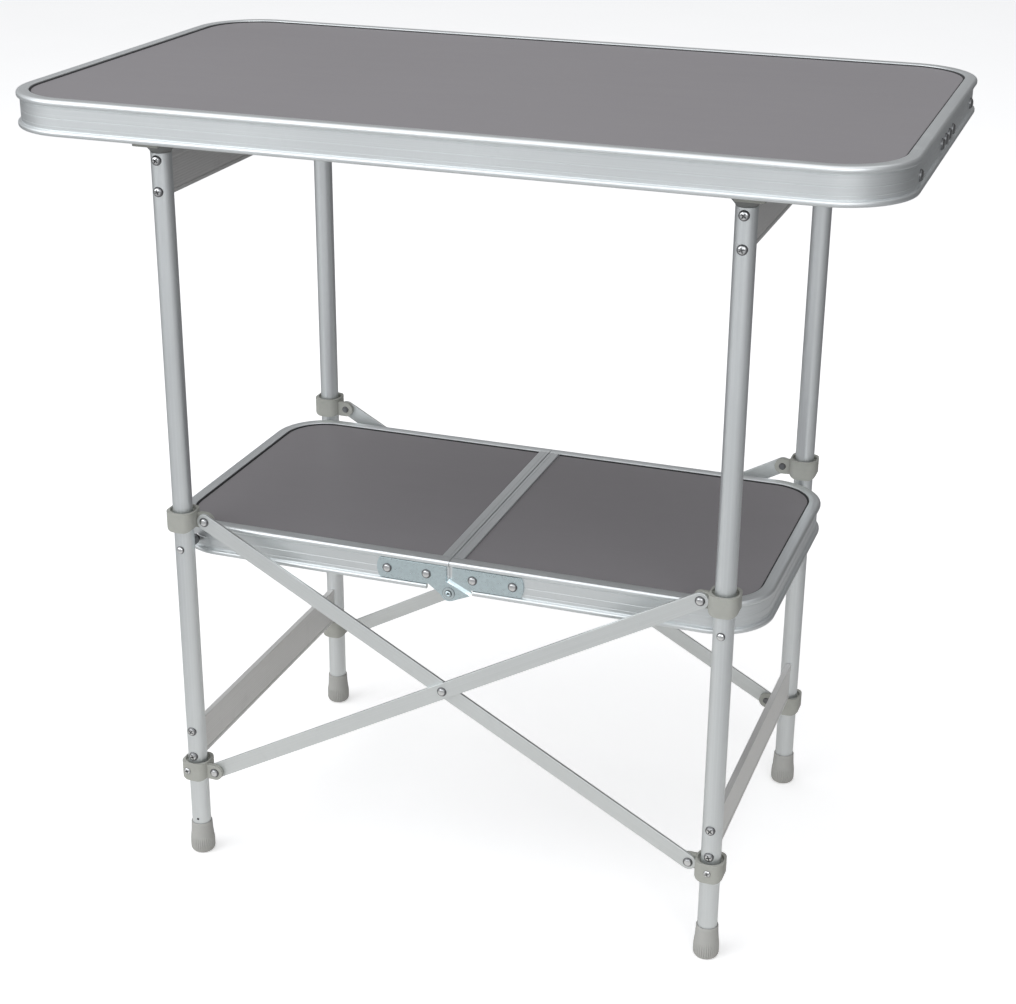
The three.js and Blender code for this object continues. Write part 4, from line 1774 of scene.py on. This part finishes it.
@dataclass
class Collar:
    """Moulded collar around a leg, with an ear that a bar turns on."""

    node: str
    rivet_node: str
    ear: EarPlace
    half: float = 13.6 * MM
    corner: float = 8.0 * MM
    low_cut: float = 5.0 * MM
    low_start: float = 0.5 * MM
    sink: float = 3.2 * MM
    sink_radius: float = 12.3 * MM
    sink_past: float = 2 * MM
    play: float = 0.25 * MM
    flat: float = 3 * MM
    rounding: float = 0.55 * MM
    rounded_from: float = 25.0
    ear_thick: float = 4.0 * MM
    ear_radius: float = 8.0 * MM
    ear_root: Point = (-7.5 * MM, 8 * MM)

    def __post_init__(self) -> None:
        """Take the collar's place from its leg, its own box and its rivet."""
        self.leg = Leg(self.node[-2:])
        box = Box.of(self.node)
        rivet = Box.of(self.rivet_node)
        self.low, self.high = box.low.z, box.high.z
        self.pivot = (rivet.mid.x, rivet.mid.z)
        self.outer, self.inner = clamped_between(rivet, self.leg.out_y)

    def build(self, name: str) -> None:
        """Make and dress the collar.

        Args:
            name: the piece's name.
        """
        x, y, h = self.leg.x, self.leg.y, self.half
        outline = rounded_rectangle((x - h, y - h), (x + h, y + h), [self.corner] * 4, 10)
        collar = loose(extruded(outline, Along.Z, self.low, self.high), name)
        for sign in (-1.0, 1.0):
            rework(collar, self.lower_corner(sign))
        rework(collar, self.ear_plate(), Work.JOIN)
        past = self.sink_past
        bore = self.leg.radius + self.play
        well = [
            (0.0, self.low - past),
            (bore, self.low - past),
            (bore, self.high - self.sink),
            (self.sink_radius, self.high - self.sink),
            (self.sink_radius, self.high + past),
            (0.0, self.high + past),
        ]
        rework(collar, turned(well, (x, y), Along.Z, 48))
        soften(collar, self.rounding, 2, self.rounded_from)
        stand_for(self.node, collar, Finish.COLLAR)

    def lower_corner(self, sign: float) -> Shape:
        """Cutter that curves one lower side of the ring.

        Args:
            sign: side of the ring along x.

        Returns:
            The cutter.
        """
        x, low, past = self.leg.x, self.low, self.sink_past
        far, wide = self.half + past, self.half - self.flat
        turns = [math.radians(a) for a in range(0, 91, 15)]
        points = [
            (self.flat + wide * math.sin(a), low + self.low_cut * (1 - math.cos(a))) for a in turns
        ]
        points += [(far, low + self.low_cut), (far, low - past), (0.0, low - past)]
        points += [(0.0, low - self.low_start)]
        outline = [(x + sign * a, b) for a, b in points]
        return extruded(outline, Along.Y, self.leg.y - far, self.leg.y + far)

    def ear_plate(self) -> Shape:
        """Ear that reaches from inside the ring to the pivot.

        Returns:
            The ear.
        """
        px, pz = self.pivot
        root = self.leg.x - self.leg.out_x * (self.half - self.flat)
        ends = [(root, pz + rise) for rise in self.ear_root]
        outline = hull(circle((px, pz), self.ear_radius, 48) + ends)
        thick = -self.leg.out_y * self.ear_thick
        if self.ear is EarPlace.IN_FRONT:
            return extruded(outline, Along.Y, self.outer, self.outer + thick)
        return extruded(outline, Along.Y, self.inner - thick, self.inner)


@dataclass
class Scissor:
    """The crossed bars on the front or rear of the table, with their collars."""

    face: Face
    end_steps: int = 20
    bar_width: float = 15.6 * MM
    edge: float = 0.4 * MM
    screw_height: float = 10.5 * MM
    screw_aside: float = 5.5 * MM

    def __post_init__(self) -> None:
        """Name the legs at the two ends and choose the collars' screw."""
        self.left = self.face.letter + Side.LEFT.letter
        self.right = self.face.letter + Side.RIGHT.letter
        self.collar_screw = CrossScrew(
            3.5 * MM, 1.5 * MM, 0.9 * MM, 0.95 * MM, 4.4 * MM, 1.4 * MM
        )

    def build(self) -> None:
        """Make and dress bars, collars and rivets."""
        lower = {tag: Box.of(f"lower_rivet_{tag}").mid for tag in (self.left, self.right)}
        upper = {tag: Box.of(f"slider_rivet_{tag}").mid for tag in (self.left, self.right)}
        self.build_bar("a", lower[self.left], upper[self.right])
        self.build_bar("b", upper[self.left], lower[self.right])
        ears = {
            f"lower_collar_{self.left}": EarPlace.IN_FRONT,
            f"lower_collar_{self.right}": EarPlace.BEHIND,
            f"slider_collar_{self.left}": EarPlace.BEHIND,
            f"slider_collar_{self.right}": EarPlace.BEHIND,
        }
        for node, ear in ears.items():
            level, tag = node.split("_")[0], node[-2:]
            Collar(node, f"{level}_rivet_{tag}", ear).build(f"{level}_ring_{tag}")
            self.build_rivet(f"{level}_rivet_{tag}")
            if level == "lower":
                self.build_collar_screw(node)
        self.build_rivet(f"scissor_rivet_{self.face}")

    def build_bar(self, letter: str, start: Vector, end: Vector) -> None:
        """Flat bar with round ends.

        Args:
            letter: a for the outer bar, b for the inner.
            start: pivot at the left.
            end: pivot at the right.
        """
        node = f"scissor_bar_{self.face}_{letter}"
        box = Box.of(node)
        run = Vector((end.x - start.x, end.z - start.z))
        tilt = math.degrees(math.atan2(run.y, run.x))
        half_width = self.bar_width / 2
        outline = arc((start.x, start.z), half_width, tilt + 90, tilt + 270, self.end_steps)
        outline += arc((end.x, end.z), half_width, tilt - 90, tilt + 90, self.end_steps)
        grain = (run.x / run.length, run.y / run.length)
        shape = extruded(outline, Along.Y, box.low.y, box.high.y, grain)
        bar = loose(shape, f"strip_{self.face}_{letter}")
        soften(bar, self.edge)
        stand_for(node, bar, Finish.BAR_ALUMINIUM)

    def build_rivet(self, node: str) -> None:
        """Domed rivet through a pivot.

        Args:
            node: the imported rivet.
        """
        box = Box.of(node)
        face, back = clamped_between(box, self.face.value)
        profile = PIVOT_RIVET.profile(abs(back - face))
        out = Outward(Along.Y, self.face.value)
        shape = out.shape(profile, (box.mid.x, box.mid.z), face)
        stand_for(node, loose(shape, node.replace("_rivet_", "_dome_")), Finish.BRIGHT)

    def build_collar_screw(self, node: str) -> None:
        """Cross screw that holds the fixed collar to its leg.

        Args:
            node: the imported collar.
        """
        leg = Leg(node[-2:])
        x = leg.x - self.screw_aside if leg.out_x < 0 else leg.x
        z = Box.of(node).low.z + self.screw_height
        spot = (x, leg.y + leg.out_y * Collar.half, z, leg.out_y)
        head = self.collar_screw.head(f"collar_screw_{leg.tag}", [spot])
        show(head, Finish.BRIGHT, body_of(node))


# --------------------------------------------------------------------------------------
# Shelf
# --------------------------------------------------------------------------------------


@dataclass
class ShelfHalf:
    """One half of the folding shelf, with its hinge leaves."""

    side: Side
    corner: float = 54 * MM
    corner_steps: int = 18
    hinge_notches: tuple[Point, ...] = ((6.5 * MM, 7 * MM), (23 * MM, 5.2 * MM))
    pivot_hole: float = 3.3 * MM
    # the near-black strip of painted shade stops this far from the middle joint
    seal_start: float = 11.5 * MM
    bar_wall: float = 2.0 * MM
    bar_step: float = 0.2 * MM
    bar_chamfer: float = 0.5 * MM
    bar_score: tuple[Point, ...] = (
        (3.0 * MM, 0.0),
        (3.2 * MM, 0.2 * MM),
        (3.5 * MM, 0.2 * MM),
        (3.7 * MM, 0.0),
    )
    bar_flange: float = 1 * MM
    leaf_rounding: float = 0.28 * MM
    leaf_rivets_x: tuple[float, ...] = (23 * MM, 62.5 * MM)
    leaf_rivets_up: float = 15.6 * MM
    leaf_rivet_length: float = 3.6 * MM

    def __post_init__(self) -> None:
        """Take the half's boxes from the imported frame."""
        self.sign = self.side.value
        self.body = f"shelf_{self.side}"
        self.rim = Box.of(f"shelf_frame_{self.side}")
        self.board = Box.of(f"shelf_board_{self.side}")
        self.joint, self.reach = self.rim.reach
        tail = ((3.4 * MM, 0.0), (3.0 * MM, 1.2 * MM), (0.0, 1.4 * MM))
        self.leaf_rivet = Rivet(4.6 * MM, 2.1 * MM, 0.35 * MM, 2.2 * MM, tail)

    def stations(self) -> list[Station]:
        """Stations along the half's three outer sides.

        Returns:
            The stations, from one end of the middle joint to the other.
        """
        x, y, r, s = self.reach, self.rim.high.y, self.corner, self.sign
        out: list[Station] = [(-self.joint, y, 0.0, 1.0)]
        out += corner_run((r - x, y - r), r, 90.0, self.corner_steps)
        out += corner_run((r - x, r - y), r, 180.0, self.corner_steps)
        out += [(-self.joint, -y, 0.0, -1.0)]
        return [(-s * a, b, -s * c, d) for a, b, c, d in out]

    def build(self) -> None:
        """Make and dress every piece of the half."""
        self.build_rim()
        self.build_board()
        self.build_end_bar()
        for face in Face:
            node = f"hinge_leaf_{face}_{self.side}"
            stand_for(node, rounded_copy(node, self.leaf_rounding), Finish.ZINC)
            self.build_leaf_rivets(face)

    def build_rim(self) -> None:
        """Edge extrusion, notched around the hinge and drilled for the pivot, and its near-black
        strip of painted shade.
        """
        foot, y = self.rim.low.z, self.rim.high.y
        rim = loose(swept(self.stations(), EDGE.section(), foot, False), f"shelf_rim_{self.side}")
        pivot = Box.of(f"shelf_pivot_{Face.FRONT.letter}{self.side.letter}").mid
        for face in Face:
            y0, y1 = face.value * (y + MM), face.value * (y - EDGE.lip)
            for wide, tall in self.hinge_notches:
                x0, x1 = sorted((-self.sign * MM, self.sign * wide))
                block = rounded_rectangle((x0, foot - MM), (x1, foot + tall), [0.0] * 4)
                rework(rim, extruded(block, Along.Y, y0, y1))
            hole = circle((self.sign * abs(pivot.x), pivot.z), self.pivot_hole, 32)
            rework(rim, extruded(hole, Along.Y, y0, y1))
        crease(rim.data)
        stand_for(f"shelf_frame_{self.side}", rim, Finish.ALUMINIUM)
        # painted shade: a near-black strip along the lip's inner edge, for the shade line between
        # lip and board
        inner = self.stations()
        for end in (0, -1):
            inner[end] = (self.sign * self.seal_start, *inner[end][1:])
        strip = swept(inner, EDGE.seal_section(), foot, False)
        shade_strip = loose(strip, f"shelf_board_seal_{self.side}")
        show(shade_strip, Finish.SEAL, self.body)

    def build_board(self) -> None:
        """Laminate board, rounded at its outer corners only."""
        low, high = self.board.low, self.board.high
        bend = self.corner - (self.reach - self.board.reach[1])
        radii = [bend, 0.0, 0.0, bend] if self.side is Side.LEFT else [0.0, bend, bend, 0.0]
        outline = rounded_rectangle((low.x, low.y), (high.x, high.y), radii, self.corner_steps)
        board = loose(extruded(outline, Along.Z, low.z, high.z), f"shelf_panel_{self.side}")
        stand_for(f"shelf_board_{self.side}", board, Finish.SHELF_BOARD)

    def build_end_bar(self) -> None:
        """Straight edge bar along the shelf's middle joint."""
        node = f"shelf_end_bar_{self.side}"
        box = Box.of(node)
        near, lip = box.reach
        foot, top, edge = self.rim.low.z, box.high.z, self.bar_chamfer
        wall, shelf = near + self.bar_wall, lip - self.bar_flange
        back = wall - self.bar_step
        points = [(near, box.low.z), (near, top - edge), (near + edge, top)]
        points += [(near + a, top - b) for a, b in self.bar_score]
        points += [
            (lip - edge, top),
            (lip, top - edge),
            (lip, foot + EDGE.lip_under),
            (wall, foot + EDGE.lip_under),
            (wall, foot + EDGE.groove_floor),
            (shelf, foot + EDGE.groove_floor),
            (shelf, foot + EDGE.flange_under),
            (back, foot + EDGE.flange_under),
            (back, box.low.z),
        ]
        outline = [(self.sign * a, b) for a, b in points]
        shape = extruded(outline, Along.Y, box.low.y, box.high.y, LENGTHWISE)
        bar = loose(shape, f"shelf_joint_bar_{self.side}")
        stand_for(node, bar, Finish.ALUMINIUM)

    def build_leaf_rivets(self, face: Face) -> None:
        """Two domed rivets that hold a hinge leaf.

        Args:
            face: the side of the table that the leaf is on.
        """
        surface = Box.of(f"hinge_leaf_{face}_left").faces(face.value)[0]
        z = self.rim.low.z + self.leaf_rivets_up
        profile = self.leaf_rivet.profile(self.leaf_rivet_length)
        out = Outward(Along.Y, face.value)
        heads = [out.shape(profile, (self.sign * x, z), surface) for x in self.leaf_rivets_x]
        piece = loose(joined(heads), f"hinge_leaf_rivets_{face}_{self.side}")
        show(piece, Finish.BRIGHT, self.body)


@dataclass
class HingePin:
    """Pin of the shelf's middle hinge, with a washer under its head."""

    face: Face
    head: tuple[Point, ...] = (
        (0.0, 1.7 * MM),
        (0.7 * MM, 1.6 * MM),
        (1.2 * MM, 0.7 * MM),
        (1.7 * MM, 0.1 * MM),
        (2.2 * MM, 0.0),
        (2.8 * MM, 0.3 * MM),
        (3.2 * MM, 1.0 * MM),
        (3.3 * MM, 1.75 * MM),
    )
    washer: tuple[Point, ...] = (
        (5.0 * MM, 1.8 * MM),
        (5.8 * MM, 1.75 * MM),
        (6.1 * MM, 1.9 * MM),
        (6.2 * MM, 2.4 * MM),
    )
    pin: float = 3.0 * MM
    tail: tuple[Point, ...] = ((4.6 * MM, 1.5 * MM), (4.2 * MM, 0.0), (0.0, 0.0))

    def build(self) -> None:
        """Make and dress the pin: hollow head, washer, pin and upset tail."""
        node = f"hinge_pin_{self.face}"
        box = Box.of(node)
        outer, inner = box.faces(self.face.value)
        length = abs(inner - outer)
        profile = [(r, -depth) for r, depth in (*self.head, *self.washer)]
        profile += [(self.pin, -self.washer[-1][1]), (self.pin, -length + self.tail[0][1])]
        profile += [(r, -length + rise) for r, rise in self.tail]
        out = Outward(Along.Y, self.face.value)
        shape = out.shape(profile, (box.mid.x, box.mid.z), outer)
        stand_for(node, loose(shape, f"hinge_bolt_{self.face}"), Finish.PIN_ZINC)


# --------------------------------------------------------------------------------------
# Studio
# --------------------------------------------------------------------------------------


@dataclass(frozen=True)
class Panel:
    """A square soft light: place, point aimed at, side in metres and power in watts."""

    name: str
    place: Place
    aim: Place
    size: float
    power: float


@dataclass
class Studio:
    """Pale floor, soft lights and the camera."""

    camera_place: Place = (0.6018, -1.7067, 1.1213)
    yaw: float = 0.337
    pitch: float = -0.399
    roll: float = 0.008
    lens: float = 69.93
    sensor: float = 36.0
    clip_end: float = 100.0
    floor_half: float = 14.0
    floor_z: float = -0.4 * MM
    paper_dark: Colour = (0.90, 0.90, 0.90)
    paper_light: Colour = (0.93, 0.93, 0.93)
    bright_side: Place = (-0.42, -0.89, 0.15)
    bright_level: Colour = (1.07, 1.095, 1.12)
    middle_level: Colour = (0.40, 0.40, 0.41)
    dark_level: Colour = (0.13, 0.127, 0.127)
    floor_glow: float = 0.38
    floor_bounce: tuple[float, float, float] = (0.20, 0.44, 0.80)
    floor_fade: Point = (1.1, 0.35)
    floor_depth: Point = (1.5, -0.5)
    panels: tuple[Panel, ...] = (
        Panel("overhead", (-0.3, 0.2, 3.2), (0.0, 0.0, 0.3), 4.6, 44.0),
        Panel("front_left", (-2.4, -2.6, 2.2), (0.0, 0.0, 0.4), 3.4, 44.0),
        Panel("front_right", (1.7, -3.0, 1.9), (0.0, 0.0, 0.4), 2.4, 32.0),
    )

    def build(self) -> None:
        """Set up the studio."""
        bpy.context.scene.view_settings.view_transform = "Standard"
        self.build_camera()
        self.build_floor()
        self.build_world()
        self.build_lights()

    def build_camera(self) -> None:
        """Camera at standing height, looking down at the front."""
        data = bpy.data.cameras.new("camera")
        data.lens = self.lens
        data.sensor_width = self.sensor
        data.clip_end = self.clip_end
        camera = bpy.data.objects.new("camera", data)
        turn = Matrix.Rotation(self.yaw, 4, "Z")
        turn = turn @ Matrix.Rotation(math.pi / 2 + self.pitch, 4, "X")
        turn = turn @ Matrix.Rotation(self.roll, 4, "Z")
        camera.matrix_world = Matrix.Translation(self.camera_place) @ turn
        bpy.context.collection.objects.link(camera)
        bpy.context.scene.camera = camera

    def build_floor(self) -> None:
        """Plain white floor just under the feet."""
        s, z = self.floor_half, self.floor_z
        data = bpy.data.meshes.new("floor")
        data.from_pydata([(-s, -s, z), (s, -s, z), (s, s, z), (-s, s, z)], [], [(0, 1, 2, 3)])
        data.materials.append(self.floor_paper())
        floor = bpy.data.objects.new("floor", data)
        bpy.context.collection.objects.link(floor)

    def floor_paper(self) -> bpy.types.Material:
        """White paper that throws back less light than it shows, so metal stays grey.

        Returns:
            The material.
        """
        bench = Bench.of("floor_paper")
        tone = bench.noise(bench.in_object(), 3.0, 2.0)
        shown = bench.mix(tone, self.paper_dark, self.paper_light)
        seen = bench.node(
            "BsdfPrincipled",
            None,
            Base_Color=shown,
            Roughness=0.95,
            Specular_IOR_Level=0.05,
            Emission_Color=(1.0, 1.0, 1.0, 1.0),
            Emission_Strength=self.floor_glow,
        )
        away = bench.node("VectorMath", {"operation": "LENGTH"}, _0=bench.in_object())
        nearness = Signal(bench, away.outputs["Value"]).step(*self.floor_fade)
        back, front, near = self.floor_bounce
        ahead = bench.axis(bench.in_object(), "Y").step(*self.floor_depth)
        far = bench.mix(ahead, (back, back, back), (front, front, front))
        thrown = bench.mix(nearness, far, (near, near * 0.985, near * 0.955))
        dim = bench.node("BsdfDiffuse", None, Color=thrown)
        direct = bench.node("LightPath").outputs["Is Camera Ray"]
        both = bench.node("MixShader", None, _0=direct, _1=dim, _2=seen)
        bench.node("OutputMaterial", None, Surface=both)
        return bench.owner

    def build_world(self) -> None:
        """Surroundings bright at the front left and dark at the back right."""
        bench = Bench(bpy.data.worlds.new("studio"))
        way = bench.node("TexCoord").outputs["Generated"]
        side = Vector(self.bright_side).normalized()
        facing = bench.node("VectorMath", {"operation": "DOT_PRODUCT"}, _0=way, _1=side)
        lift = bench.node("MapRange", None, Value=facing.outputs["Value"], From_Min=-1.0)
        stops = ((0.0, self.dark_level), (0.5, self.middle_level), (1.0, self.bright_level))
        ramp = bench.node("ValToRGB", {"stops": stops}, _0=lift)
        bench.node("OutputWorld", None, _0=bench.node("Background", None, _0=ramp))
        bpy.context.scene.world = bench.owner

    def build_lights(self) -> None:
        """Large soft panels overhead and at the front."""
        for panel in self.panels:
            data = bpy.data.lights.new(panel.name, "AREA")
            data.shape = "SQUARE"
            data.size = panel.size
            data.energy = panel.power
            lamp = bpy.data.objects.new(panel.name, data)
            lamp.location = panel.place
            beam = Vector(panel.aim) - Vector(panel.place)
            lamp.rotation_euler = beam.to_track_quat("-Z", "Y").to_euler()
            bpy.context.collection.objects.link(lamp)


def main() -> None:
    """Build the studio and the table, sub-assembly by sub-assembly."""
    logging.basicConfig(level=logging.INFO, format="%(message)s")
    Studio().build()
    TableTop().build()
    for side in Side:
        LegFrame(side).build()
    for face in Face:
        Scissor(face).build()
        HingePin(face).build()
    for side in Side:
        ShelfHalf(side).build()


if __name__ == "__main__":
    main()
